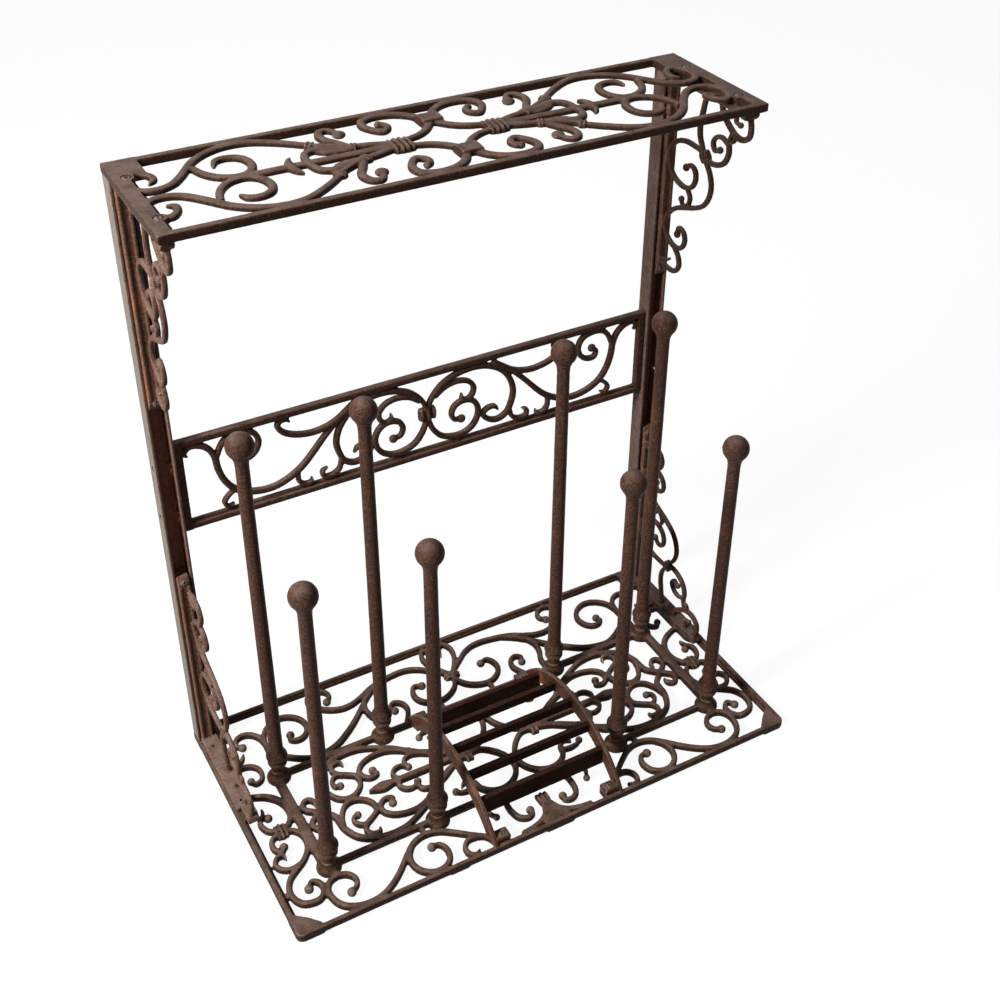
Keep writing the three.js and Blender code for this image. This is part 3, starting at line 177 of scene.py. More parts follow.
bracketShares = [
    (1, "plain", "plain", [(935, 10), (963, 57), (959, 107), (899, 135), (829, 134), (758, 109), (687, 69),
        (659, 21)]),
    (0.75, "ball", "plain", [(864, 80), (819, 73), (833, 21)]),
    (1, "plain", "plain", [(531, 302), (602, 312), (680, 302), (744, 274), (776, 226), (771, 178), (793, 135)]),
    (0.88, "ball", "plain", [(687, 233), (640, 248), (612, 219), (640, 186), (697, 174), (762, 188)]),
    (1, "plain", "plain", [(517, 274), (475, 226), (465, 174), (482, 107), (510, 16)]),
    (1, "ball", "plain", [(354, 398), (397, 376), (446, 385), (465, 422), (439, 465), (375, 490), (283, 487),
        (205, 460), (163, 407), (177, 345), (241, 302), (333, 281), (425, 279), (510, 283)]),
    (1, "ball", "plain", [(314, 735), (329, 698), (382, 706), (404, 744), (375, 784), (312, 802), (234, 789),
        (170, 746), (170, 697), (227, 641), (297, 608), (390, 582), (489, 555), (569, 522), (616, 477),
        (633, 422), (609, 365), (552, 317)]),
    (0.82, "ball", "plain", [(329, 555), (351, 579), (399, 568), (422, 529), (385, 487)]),
    (0.95, "plain", "plain", [(283, 799), (343, 837), (361, 880), (329, 916), (262, 929), (156, 918)]),
    (0.69, "tip", "plain", [(262, 870), (227, 889), (156, 899)]),
    (0.75, "plain", "tip", [(833, 135), (814, 164), (796, 179)]),
]

# Building blocks. A stock collects closed shells that are later melted into one casting.

def newStock():
    return {"places": [], "faces": []}


def addRings(stock, rings):
    first, around = len(stock["places"]), len(rings[0])
    last = first + (len(rings) - 1) * around
    for ring in rings:
        stock["places"].extend(tuple(place) for place in ring)
    for start in range(first, last, around):
        for side in range(around):
            a, b = start + side, start + (side + 1) % around
            stock["faces"].append((a, b, b + around, a + around))
    stock["faces"].append(tuple(range(first + around - 1, first - 1, -1)))
    stock["faces"].append(tuple(range(last, last + around)))


def addPrism(stock, outline, low, high, edge=0.0):
    middle = np.mean(outline, axis=0)
    reach = np.abs(np.array(outline) - middle).max()

    def ring(inset, height):
        return [(*(middle + (np.array(p) - middle) * (1 - inset / reach)), height) for p in outline]

    if edge:
        addRings(stock, [ring(edge, low), ring(0, low + edge), ring(0, high - edge), ring(edge, high)])
    else:
        addRings(stock, [ring(0, low), ring(0, high)])


def addBlock(stock, xs, ys, zs, edge=0.0):
    addPrism(stock, [(xs[0], ys[0]), (xs[1], ys[0]), (xs[1], ys[1]), (xs[0], ys[1])], *zs, edge)


def addTurned(stock, x, y, profile, sides=32):
    angles = [2 * math.pi * side / sides for side in range(sides)]
    addRings(stock, [[(x + r * math.cos(a), y + r * math.sin(a), z) for a in angles] for r, z in profile])


def addBall(stock, x, y, z, radius, height, sides=20, bands=10):
    steps = [math.pi * (band + 0.5) / bands - math.pi / 2 for band in range(bands)]
    addTurned(stock, x, y, [(radius * math.cos(s), z + height * math.sin(s)) for s in steps], sides)


def squared(value, square):
    return math.copysign(abs(value) ** square, value)


# Sections of a bar: side from -1 to 1 and height from 0 to 1, all the way round.
# A square of 1 gives a round crown, and a smaller one a flatter crown with softer corners.
def domedSection(shoulder=0.56, square=0.74, steps=11):
    crown = [math.pi * step / (steps - 1) for step in range(steps)]
    return [(-1, 0.14), (-0.84, 0), (0.84, 0), (1, 0.14)] + [
        (squared(math.cos(a), square), shoulder + (1 - shoulder) * squared(math.sin(a), square)) for a in crown]


def roundSection(square=0.62, steps=18):
    turns = [2 * math.pi * step / steps for step in range(steps)]
    return [(squared(math.cos(a), square), 0.5 - 0.5 * squared(math.sin(a), square)) for a in turns]


squareSection = [(-1, 0.1), (-0.9, 0), (0.9, 0), (1, 0.1), (1, 0.84), (0.84, 1), (-0.84, 1), (-1, 0.84)]
rimSection = [
    (-1, 0.1), (-0.9, 0), (0.92, 0), (1, 0.1), (1, 0.46), (0.86, 0.56), (0.52, 0.58), (0.44, 0.7),
    (0.4, 0.9), (0.2, 1), (-0.8, 1), (-1, 0.84),
]


def smoothPath(points, step):
    points = [np.array(p, float) for p in points]
    ghosts = [2 * points[0] - points[1], *points, 2 * points[-1] - points[-2]]
    path = []
    for a, b, c, d in zip(ghosts, ghosts[1:], ghosts[2:], ghosts[3:]):
        ab, bc, cd = (max(math.sqrt(np.linalg.norm(q - p)), 1e-4) for p, q in ((a, b), (b, c), (c, d)))
        leave = ((b - a) / ab - (c - a) / (ab + bc) + (c - b) / bc) * bc
        arrive = ((c - b) / bc - (d - b) / (bc + cd) + (d - c) / cd) * bc
        count = max(2, round(np.linalg.norm(c - b) / step))
        for s in (k / count for k in range(count)):
            path.append(
                (2 * s**3 - 3 * s**2 + 1) * b + (s**3 - 2 * s**2 + s) * leave
                + (3 * s**2 - 2 * s**3) * c + (s**3 - s**2) * arrive)
    path.append(points[-1])
    return path


def addBar(stock, path, halves, floor, crowns, section):
    rings = []
    for i, place in enumerate(path):
        along = path[min(i + 1, len(path) - 1)] - path[max(i - 1, 0)]
        along = along / np.linalg.norm(along)
        across = np.array((along[1], -along[0]))
        rings.append([
            (*(place + across * side * halves[i]), floor + height * (crowns[i] - floor))
            for side, height in section])
    addRings(stock, rings)


def addStraight(stock, start, end, width, floor, crown, section):
    path = [np.array(start, float), np.array(end, float)]
    addBar(stock, path, [width / 2] * 2, floor, [crown] * 2, section)


# A scroll swells along its run and ends in a ball, in a tip that thins out, blunt, or inside another bar.
# A taper gives the least share of the width, the gain, its reach in widths and its power.
scrollForm = {
    "step": 1.6, "thin": 0.9, "swell": 0.3, "swellRun": 16, "crown": (0.55, 0.45),
    "tapers": {"tip": (0.3, 0.8, 1.7, 0.8), "ball": (0.76, 0.3, 3.5, 1)}, "knobs": {"ball": 0.84, "blunt": 0.54},
}


def addScroll(stock, points, width, floor, crown, section, ends=("plain", "plain")):
    path = smoothPath(points, scrollForm["step"])
    run = np.concatenate([[0], np.cumsum([np.linalg.norm(q - p) for p, q in zip(path, path[1:])])])
    swell = scrollForm["swell"] * min(1, run[-1] / (scrollForm["swellRun"] * width))
    share = scrollForm["thin"] + swell * np.sin(math.pi * run / run[-1])
    for end, far in zip(ends, (run, run[-1] - run)):
        if end in scrollForm["tapers"]:
            least, gain, reach, power = scrollForm["tapers"][end]
            share = np.minimum(share, least + gain * np.clip(far / (reach * width), 0, 1) ** power)
    low, gain = scrollForm["crown"]
    crowns = floor + (crown - floor) * (low + gain * np.minimum(share, 1))
    addBar(stock, path, share * width / 2, floor, crowns, section)
    for end, place in zip(ends, (path[0], path[-1])):
        if end in scrollForm["knobs"]:
            radius = scrollForm["knobs"][end] * width
            addBall(stock, *place, (floor + crown) / 2, radius, min(radius, (crown - floor) / 2 + 0.9))


def addScrolls(stock, table, place, width, floor, crown, section):
    for share, *ends, path in table:
        points = [place(u / 1000, v / 1000) for u, v in path]
        addScroll(stock, points, share * width, floor, crown, section, ends)


# A tie around bars: a low barrel with rounded ribs that run over it from side to side. Crown and width are
# what a hoop has at its ends and what its middle gains. The barrel has its share of the length and how much
# lower it lies, and the ribs their share and how much narrower and lower an outer one is.
tieForm = {
    "steps": 13, "round": 0.6, "crown": (0.4, 0.6), "width": (0.5, 0.5), "section": (0.4, 1),
    "barrel": (0.46, 2.4), "rib": (0.41, 0.25, 2),
}


def addTie(stock, x, y, length, across, floor, top, ribs=3, angle=0.0):
    run = np.array((math.cos(angle), math.sin(angle)))
    over = np.array((-run[1], run[0]))
    lean = np.linspace(-0.5 * math.pi, 0.5 * math.pi, tieForm["steps"])
    inwards = np.maximum(np.cos(lean), 0) ** tieForm["round"]

    def addHoop(place, half, reach, crown):
        path = [place + over * reach * math.sin(turn) for turn in lean]
        (low, rise), (thin, gain) = tieForm["crown"], tieForm["width"]
        crowns = floor + (crown - floor) * (low + rise * inwards)
        addBar(stock, path, half * (thin + gain * inwards), floor, crowns, domedSection(*tieForm["section"]))

    middle = np.array((x, y))
    share, drop = tieForm["barrel"]
    addHoop(middle, length * share, across * share, top - drop)
    share, narrow, drop = tieForm["rib"]
    for rib in range(ribs):
        aside = (rib + 0.5) / ribs - 0.5
        reach = across / 2 * (1 - abs(aside) * narrow)
        addHoop(middle + run * length * aside, length / ribs * share, reach, top - drop * abs(aside))


def objectFrom(name, stock):
    mesh = bpy.data.meshes.new(name)
    mesh.from_pydata([tuple(c * mm for c in place) for place in stock["places"]], [], stock["faces"])
    shells = bmesh.new()
    shells.from_mesh(mesh)
    bmesh.ops.recalc_face_normals(shells, faces=shells.faces)
    shells.to_mesh(mesh)
    shells.free()
    piece = bpy.data.objects.new(name, mesh)
    bpy.context.collection.objects.link(piece)
    return piece


def bake(piece):
    shaped = bpy.data.meshes.new_from_object(piece.evaluated_get(bpy.context.evaluated_depsgraph_get()))
    old = piece.data
    piece.modifiers.clear()
    piece.data = shaped
    bpy.data.meshes.remove(old)


lumps = {"size": 3.2, "depth": 2, "casting": 0.3, "post": 0.35}
lumpTexture = bpy.data.textures.new("castLumps", "CLOUDS")
lumpTexture.noise_scale = lumps["size"] * mm
lumpTexture.noise_depth = lumps["depth"]


def roughen(piece, height):
    uneven = piece.modifiers.new("lumps", "DISPLACE")
    uneven.texture = lumpTexture
    uneven.texture_coords = "LOCAL"
    uneven.strength = height * mm
    uneven.mid_level = 0.5


# Melts the shells of a stock into one skin with soft inner corners, as sand casting leaves it.
# The grain is the size of the voxels, and the softness the rounds of smoothing.
def cast(name, stock, grain, softness, mostFaces):
    piece = objectFrom(name, stock)
    melt = piece.modifiers.new("melt", "REMESH")
    melt.mode = "VOXEL"
    melt.voxel_size = grain * mm
    soften = piece.modifiers.new("soften", "SMOOTH")
    soften.factor = 0.5
    soften.iterations = softness
    roughen(piece, lumps["casting"])
    bake(piece)
    faces = sum(len(face.vertices) - 2 for face in piece.data.polygons)
    if faces > mostFaces:
        thin = piece.modifiers.new("thin", "DECIMATE")
        thin.ratio = mostFaces / faces
        bake(piece)
    print(name, "cast with", faces, "faces, kept", len(piece.data.polygons))
    return piece


def cutAway(piece, tool):
    cutter = piece.modifiers.new("cut", "BOOLEAN")
    cutter.operation = "DIFFERENCE"
    cutter.solver = "MANIFOLD"
    cutter.object = tool
    bake(piece)
    bpy.data.objects.remove(tool)


# A hole is given by its place across its axis, its two ends along it and its width.
# The places follow the letters after the axis, so an axis of X takes y and z, and an axis of Y takes z and x.
def drill(piece, holes, axis="Z", sides=28):
    stock = newStock()
    for first, second, low, high, width in holes:
        addTurned(stock, first, second, [(width / 2, low), (width / 2, high)], sides)
    bit = objectFrom("drillBit", stock)
    turned = {"Z": (0, 1, 2), "X": (2, 0, 1), "Y": (1, 2, 0)}[axis]
    bit.data.transform(Matrix([[int(column == source) for column in range(3)] for source in turned]).to_4x4())
    cutAway(piece, bit)


def placePiece(piece, matrix):
    piece.data.transform(matrix)
    piece.data.update()


# Other finishes come with a test: each covers the faces whose middles, in millimetres, pass it.
def finishPiece(piece, finish, slot, *nodes, others=()):
    piece.data.materials.clear()
    piece.data.materials.append(finishes[finish])
    for index, (other, covers) in enumerate(others, 1):
        piece.data.materials.append(finishes[other])
        for face in piece.data.polygons:
            if covers(face.center / mm):
                face.material_index = index
    piece.data.shade_smooth()
    piece.data.set_sharp_from_angle(angle=math.radians(50))
    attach(piece, "root")
    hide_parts(*nodes)


# Finishes. The groups give masks and heights; each material sets its own tones. Some tones are painted light and
# shade: shade on sides, undersides, creases and pits, light on tops and highlights on ridges.
# A noise is given by its scale, or by its share of a scale, its detail and its roughness.

masks = {
    "fine": (1, 5, 0.65), "fineHeight": 0.45, "lump": (0.28, 3, 0.5), "lumpHeight": 0.9,
    "pit": (0.45, 2, 0.5), "pitRange": (0.6, 0.72),
    "bloom": (1, 5, 0.62), "bloomStart": 0.78, "bloomSpread": 0.42, "bloomWidth": 0.2,
    "speckle": (16, 3, 0.7), "speckleRange": (0.42, 0.68),
    "edgeWidth": 0.07, "hollowRange": (0.5, 0.455), "gaps": (120, 4, 0.7), "gapRange": (0.3, 0.65, 0.35, 1),
    "topRange": (0.5, 0.98), "sideRange": (0.6, 0.1), "patches": (60, 4, 0.6), "patchRange": (0.3, 0.7, 0.35, 1),
    "bumpDepth": 0.25,
}


def newGroup(name, values, results):
    group = bpy.data.node_groups.new(name, "ShaderNodeTree")
    group.interface.new_socket("Vector", in_out="INPUT", socket_type="NodeSocketVector")
    for label, value in values.items():
        group.interface.new_socket(label, in_out="INPUT", socket_type="NodeSocketFloat").default_value = value
    for label in results:
        group.interface.new_socket(label, in_out="OUTPUT", socket_type="NodeSocketFloat")
    return group, group.nodes.new("NodeGroupInput").outputs, group.nodes.new("NodeGroupOutput").inputs


def plug(tree, sockets, values):
    for socket, value in zip(sockets, values):
        if isinstance(value, bpy.types.NodeSocket):
            tree.links.new(value, socket)
        else:
            socket.default_value = value


def addMath(tree, operation, first, second):
    node = tree.nodes.new("ShaderNodeMath")
    node.operation = operation
    plug(tree, node.inputs, (first, second))
    return node.outputs[0]


def addNoise(tree, place, scale, detail, roughness):
    noise = tree.nodes.new("ShaderNodeTexNoise")
    plug(tree, [noise.inputs[label] for label in ("Vector", "Scale", "Detail", "Roughness")],
         (place, scale, detail, roughness))
    return noise.outputs["Fac"]


def addRange(tree, value, low, high, toLow=0.0, toHigh=1.0):
    node = tree.nodes.new("ShaderNodeMapRange")
    node.interpolation_type = "SMOOTHSTEP"
    plug(tree, [node.inputs[label] for label in ("Value", "From Min", "From Max", "To Min", "To Max")],
         (value, low, high, toLow, toHigh))
    return node.outputs["Result"]


def addMix(tree, share, first, second):
    node = tree.nodes.new("ShaderNodeMix")
    node.data_type = "RGBA"
    plug(tree, (node.inputs[0], node.inputs[6], node.inputs[7]), (share, first, second))
    return node.outputs[2]


def addSharedNoise(tree, given, size, kind):
    share, detail, roughness = masks[kind]
    return addNoise(tree, given["Vector"], addMath(tree, "MULTIPLY", given[size], share), detail, roughness)


def castGrainGroup():
    group, given, gives = newGroup("castGrain", {"Grain": 900, "Pits": 0.5}, ("Height", "Pit Mask"))
    fine, lump, pit = (addSharedNoise(group, given, "Grain", kind) for kind in ("fine", "lump", "pit"))
    fine = addMath(group, "MULTIPLY", fine, masks["fineHeight"])
    lump = addMath(group, "MULTIPLY", lump, masks["lumpHeight"])
    pits = addMath(group, "MULTIPLY", addRange(group, pit, *masks["pitRange"]), given["Pits"])
    plug(group, gives, (addMath(group, "SUBTRACT", addMath(group, "ADD", fine, lump), pits), pits))
    return group


def rustBloomGroup():
    group, given, gives = newGroup("rustBloom", {"Size": 30, "Spread": 0.5}, ("Bloom", "Speckle"))
    wide, speckle = (addSharedNoise(group, given, "Size", kind) for kind in ("bloom", "speckle"))
    spread = addMath(group, "MULTIPLY", given["Spread"], masks["bloomSpread"])
    start = addMath(group, "SUBTRACT", masks["bloomStart"], spread)
    bloom = addRange(group, wide, start, addMath(group, "ADD", start, masks["bloomWidth"]))
    plug(group, gives, (bloom, addRange(group, speckle, *masks["speckleRange"])))
    return group


# Ridges get the edge mask, partly wear and partly a painted highlight; creases get a mask for painted shade.
def edgeWearLightAndShadeGroup():
    group, given, gives = newGroup("edgeWear", {"Start": 0.52, "Amount": 1}, ("Edge", "Hollow"))
    bend = group.nodes.new("ShaderNodeNewGeometry").outputs["Pointiness"]
    edge = addRange(group, bend, given["Start"], addMath(group, "ADD", given["Start"], masks["edgeWidth"]))
    broken = addRange(group, addNoise(group, given["Vector"], *masks["gaps"]), *masks["gapRange"])
    edge = addMath(group, "MULTIPLY", addMath(group, "MULTIPLY", edge, broken), given["Amount"])
    # The second mask is painted shade in creases, where the pointiness is low.
    plug(group, gives, (edge, addRange(group, bend, *masks["hollowRange"])))
    return group


# Faces turned up get a paler tone, partly dust and partly painted light on tops.
def topDustAndLightGroup():
    group, given, gives = newGroup("dustOnTop", {"Amount": 0.5}, ("Dust", "Side"))
    split = group.nodes.new("ShaderNodeSeparateXYZ")
    group.links.new(group.nodes.new("ShaderNodeNewGeometry").outputs["Normal"], split.inputs[0])
    up = addRange(group, split.outputs["Z"], *masks["topRange"])
    patchy = addRange(group, addNoise(group, given["Vector"], *masks["patches"]), *masks["patchRange"])
    dust = addMath(group, "MULTIPLY", addMath(group, "MULTIPLY", up, patchy), given["Amount"])
    # The second mask is painted shade: it darkens side faces and undersides, which the lamps light less.
    plug(group, gives, (dust, addRange(group, split.outputs["Z"], *masks["sideRange"])))
    return group


groups = {"grain": castGrainGroup(), "rust": rustBloomGroup(), "wear": edgeWearLightAndShadeGroup(), "dust": topDustAndLightGroup()}


def linear(code):
    shares = [int(code[i : i + 2], 16) / 255 for i in (1, 3, 5)]
    return (*[s / 12.92 if s <= 0.04045 else ((s + 0.055) / 1.055) ** 2.4 for s in shares], 1)


def ironMaterial(name, look):
    material = bpy.data.materials.new(name)
    material.use_nodes = True
    tree = material.node_tree
    shader = tree.nodes["Principled BSDF"]
    where = tree.nodes.new("ShaderNodeTexCoord").outputs["Object"]

    def use(kind, **values):
        node = tree.nodes.new("ShaderNodeGroup")
        node.node_tree = groups[kind]
        tree.links.new(where, node.inputs["Vector"])
        for label, value in values.items():
            node.inputs[label].default_value = value
        return node.outputs

    def scaled(mask, share):
        return addMath(tree, "MULTIPLY", mask, look[share])

    grain = use("grain", Grain=look["grain"], Pits=look["pits"])
    rust = use("rust", Size=look["bloomSize"], Spread=look["rustSpread"])
    # The edge tone on ridges is partly wear and partly a painted highlight.
    wear = use("wear", Start=look["wearStart"], Amount=look["wear"])
    # Tops get a paler tone, partly dust and partly painted light.
    dust = use("dust", Amount=look["dust"])
    # Painted shade in creases and in casting pits.
    deep = addMath(tree, "MAXIMUM", wear["Hollow"], grain["Pit Mask"])
    colour = addMix(tree, rust["Speckle"], linear(look["dark"]), linear(look["body"]))
    # The dark shade tone is painted shade. The side share lays it on sides and undersides, and the hollow share
    # lays it in creases and pits.
    for share, tone in ((scaled(rust["Bloom"], "rustShare"), "rust"), (dust["Dust"], "dustTone"),
                        (scaled(dust["Side"], "side"), "shade"), (wear["Edge"], "edge"),
                        (scaled(deep, "hollow"), "shade")):
        colour = addMix(tree, share, colour, linear(look[tone]))
    bump = tree.nodes.new("ShaderNodeBump")
    bump.inputs["Strength"].default_value = look["bump"]
    bump.inputs["Distance"].default_value = masks["bumpDepth"] * mm
    tree.links.new(grain["Height"], bump.inputs["Height"])
    roughness = addRange(tree, rust["Speckle"], 0.0, 1.0, look["smooth"], look["coarse"])
    labels = ("Base Color", "Roughness", "Normal", "Metallic", "Specular IOR Level")
    plug(tree, [shader.inputs[label] for label in labels],
         (colour, roughness, bump.outputs["Normal"], look["metal"], look["shine"]))
    return material


castLook = {
    # The shade tone is painted shade; the side share lays it on side faces and undersides.
    "body": "#5c4236", "dark": "#3b2820", "rust": "#754730", "edge": "#a08a7c", "shade": "#100805",
    # The dust tone on tops is partly dust and partly painted light.
    "dustTone": "#7e695f", "grain": 900, "pits": 0.55, "bloomSize": 26, "rustSpread": 0.52, "rustShare": 0.45,
    # The edge tone is partly wear and partly a painted highlight on ridges; hollow sets painted shade in creases
    # and pits.
    "wearStart": 0.518, "wear": 0.9, "dust": 0.6, "hollow": 0.95, "bump": 0.7, "smooth": 0.46, "coarse": 0.64,
    "metal": 0.0, "shine": 0.06, "side": 0.0,
}
looks = {
    "cast_iron": {},
    # The base and shelf castings get painted shade on their side faces and undersides.
    "flat_iron": {"body": "#543a2c", "dark": "#34221a", "side": 0.4},
    "upright_iron": {"body": "#6a5047", "dark": "#46332b", "dust": 0.3, "wear": 0.5},
    # Inside the channels the iron is painted a lighter, warmer brown: painted light standing in for front light in
    # their shade.
    "channel_iron": {"body": "#875341", "dark": "#633a2c", "rust": "#99593c", "dust": 0.2, "wear": 0.3},
    # The uprights' outer faces are painted pale grey: painted light standing in for the key lamp and the white
    # reflection on them.
    "pale_iron": {
        "body": "#7d766b", "dark": "#5f584f", "rust": "#6a594c", "edge": "#8f867a", "dust": 0.2, "wear": 0.4},
    # A paler copy of the cast iron for the left brackets: painted light on the side the key lamp faces.
    "dusty_iron": {"body": "#7b5e51", "dark": "#51392f", "rust": "#8a5c44", "dustTone": "#8f7a70"},
    "tongue_iron": {"body": "#8a6655", "dark": "#5c4034", "rust": "#9a6440", "rustSpread": 0.6},
    "worn_iron": {"body": "#5f3d2c", "dark": "#38231a", "rust": "#83502f", "rustSpread": 0.65, "rustShare": 0.6},
    "blade_iron": {
        "body": "#3c2114", "dark": "#1c0f09", "rust": "#51301d", "edge": "#6a4430", "dust": 0.1, "wear": 0.5,
        "shine": 0.02},
    "screw_steel": {"body": "#57504a", "dark": "#38322d", "edge": "#857c72", "rustSpread": 0.35, "metal": 0.25},
}
finishes = {name: ironMaterial(name, {**castLook, **look}) for name, look in looks.items()}
print("finishes mixed")


# Base casting

base = {
    "length": 660, "depth": 348, "top": 12, "lift": 2.5, "scrollTop": 11.2, "scroll": 6.6,
    "sideBar": 10, "endBar": 8.5, "innerBar": 7.5, "barInset": 8, "edge": 0.6, "softEdge": 0.8, "gussetEdge": 1.2,
    "landing": [(0, 2), (17, 8), (21, 16)], "landingInset": 4,   # from the outer side inwards, and y
    "pad": (33, 38), "padInset": 2, "lower": 1.5, "spearLower": 0.5, "cast": (1.15, 3, 190000),
    "corner": [(0, 7), (2.1, 2.1), (7, 0), (31, 0), (31, 8), (20, 20), (8, 30), (0, 30)],
    "foot": [(-18.5, 0.3), (18.5, 0.3), (14.8, -8.5), (-14.8, -8.5)], "footTop": 6,
    "gate": (-133, 12, 0.2, 7, 0.4),   # place, half the width, from and to behind the front, and underside
    "boss": [(14, 2.5), (14.7, 4), (14.8, 7), (14.3, 9), (13, 11), (11.4, 12.8), (10, 14.6), (9, 16.6), (8.5, 19)],
    "socket": [(-1, 21, 8.6), (-1, 6.8, 14.6)],
    "columns": (-262.02, -124.08, 124.08, 262.02), "rows": (53.94, -98.48),
    "ties": [(0.883, -0.15, 15, 23, 0), (0, 0.612, 12, 23, 90), (0, -0.75, 17, 17, 0)],
    "spine": (266, 11.5), "gusset": [(-19, 5), (19, 5), (5, 38), (-5, 38)],
    "links": [(0.818, -0.3, 9, 6), (0.818, 0.01, 9, 6), (0.96, -0.66, 8, 6), (0.447, -0.61, 6, 10),
              (0.79, 0.44, 6, 24), (0.11, 0.36, 6, 12)],
    "fieldTies": [(0.177, 0.09, 12, 14, 0), (0.405, 0.45, 12, 12, 45), (0, 0.6, 8, 13, 90)],
    "spear": [(0.68, 0.1), (0.662, 0.45), (0.635, 0.95), (0.605, 1.25), (0.575, 0.95), (0.548, 0.62), (0.5, 0.72),
              (0.15, 0.72)],
    "screwPlaces": (30, 127), "screwLine": 317.5, "screwHole": [(-1, 14, 4.6), (-1, 5, 9.1)],
    "lugRows": (-161.5, 49.44), "lugPlace": 74, "lug": (9, 8.5), "lugHole": (-1, 14, 4.6),
}


def baseCasting():
    stock, halfLength, halfDepth = newStock(), base["length"] / 2, base["depth"] / 2
    floor, top, edge, footTop, domed = base["lift"], base["top"], base["edge"], base["footTop"], domedSection()
    outerColumn, fieldMiddle = base["columns"][-1], sum(base["rows"]) / 2
    fieldHalf = (base["rows"][0] - base["rows"][1]) / 2
    for sy in (-1, 1):
        y, end = sy * (halfDepth - base["endBar"] / 2), sy * (halfLength - base["barInset"])
        addStraight(stock, (-end, y), (end, y), base["endBar"], floor, top, rimSection)
        addPrism(stock, [(x, sy * halfDepth + sy * y) for x, y in base["foot"][::-sy]], 0, footTop)
    x, half, near, far, low = base["gate"]
    addBlock(stock, (x - half, x + half), (-halfDepth + near, -halfDepth + far), (low, footTop), base["softEdge"])
    for sx in (-1, 1):
        x, end = sx * (halfLength - base["sideBar"] / 2), sx * (halfDepth - base["barInset"])
        addStraight(stock, (x, end), (x, -end), base["sideBar"], floor, top, rimSection)
        landing = [(sx * (halfLength - a), y) for a, y in base["landing"]]
        landing += [(landing[end][0], halfDepth - base["landingInset"]) for end in (-1, 0)]
        addPrism(stock, landing, floor, top, edge)
        (across, along), inset = base["pad"], base["padInset"]
        pad = [(inset, along), (across, along), (across, inset), (inset, inset)]
        addPrism(stock, [(sx * (halfLength - a), halfDepth - b) for a, b in pad], floor, top, edge)
        for sy in (-1, 1):
            corner = [(sx * (halfLength - a), sy * (halfDepth - b)) for a, b in base["corner"]]
            addPrism(stock, corner, 0, top if sy < 0 else footTop, base["softEdge"])
    for row in base["rows"]:
        ends = (-outerColumn, row), (outerColumn, row)
        addStraight(stock, *ends, base["innerBar"], floor, top, domedSection(0.66))
        for column in base["columns"]:
            addTurned(stock, column, row, base["boss"])
    for sx in (-1, 1):
        column, wide = base["spine"]
        ends = [(sx * column, row) for row in base["rows"]]
        addStraight(stock, *ends, wide, floor, top, domedSection(0.7))
    scrolls = base["scroll"], floor, base["scrollTop"], domed
    for sx in (-1, 1):
        addScrolls(stock, stripShares, lambda u, v: (-sx * u * halfLength, v * halfDepth), *scrolls)
        for sy in (-1, 1):
            addScrolls(stock, fieldShares,
                       lambda u, v: (-sx * u * outerColumn, fieldMiddle - sy * v * fieldHalf), *scrolls)
            for u, v, length, across, angle in base["fieldTies"]:
                x, y, turn = sx * u * outerColumn, fieldMiddle + sy * v * fieldHalf, math.radians(angle) * sx * sy
                addTie(stock, x, y, length, across, floor, top, 2, turn)
        for u, v, length, across, angle in base["ties"]:
            addTie(stock, sx * u * halfLength, v * halfDepth, length, across, floor, top, 3, math.radians(angle))
        for u, v, wide, deep in base["links"]:
            x, y = sx * u * halfLength, v * halfDepth
            xs, ys = (x - wide / 2, x + wide / 2), (y - deep / 2, y + deep / 2)
            addBlock(stock, xs, ys, (floor, base["scrollTop"] - base["lower"]), base["softEdge"])
        leaf = [np.array((sx * u * outerColumn, fieldMiddle)) for u, half in base["spear"]]
        halves = [half * base["scroll"] for u, half in base["spear"]]
        addBar(stock, leaf, halves, floor, [top - base["spearLower"]] * len(leaf), domedSection(0.25))
        x, (wide, deep) = sx * base["lugPlace"], base["lug"]
        for y in base["lugRows"]:
            addBlock(stock, (x - wide, x + wide), (y - deep, y + deep), (floor, top), edge)
    gusset = [(x, -halfDepth + y) for x, y in base["gusset"]]
    addPrism(stock, gusset, floor, top - base["lower"], base["gussetEdge"])
    holes = [(column, row, *hole) for row in base["rows"] for column in base["columns"] for hole in base["socket"]]
    for sx in (-1, 1):
        holes += [(sx * base["screwLine"], y, *hole) for y in base["screwPlaces"] for hole in base["screwHole"]]
        holes += [(sx * base["lugPlace"], y, *base["lugHole"]) for y in base["lugRows"]]
    piece = cast("baseCasting", stock, *base["cast"])
    drill(piece, holes)
    finishPiece(piece, "flat_iron", "cast_iron", "base_grate")


# Posts with a ball on top, a neck under it and two beads above the socket. Profiles are radii and heights;
# the one of the neck gives its heights down from the ball.

post = {
    "balls": {"rear": 494, "front": 409}, "ball": 31, "neck": 19, "bore": (10, 41.5, 8.6), "sides": 56, "bands": 16,
    "foot": [(4.3, 19.3), (8.3, 19.3), (8.5, 19.8), (7.9, 21.2), (7.6, 23.2), (7.6, 25.2), (8.0, 26.6)],
    "beads": [(9.4, 27.8), (10.7, 29.3), (11.5, 31.2), (11.7, 33), (11.3, 34.7), (10.4, 36), (9.6, 36.8),
              (9.6, 37.3), (10.8, 37.9), (12.0, 39.4), (12.8, 41.4), (12.9, 43.4), (12.3, 45.6), (11.1, 47.8),
              (9.9, 50.2), (9.2, 52.6), (8.8, 55)],
    "shaft": (17, 15), "shaftStart": 58, "shaftStep": 6, "shaftEnd": 14, "flat": 0.6,
    "collar": [(7.7, 9), (8.3, 5), (9.2, 2.4), (9.8, 1.4), (9.9, 0.8), (9.5, 0)],
}


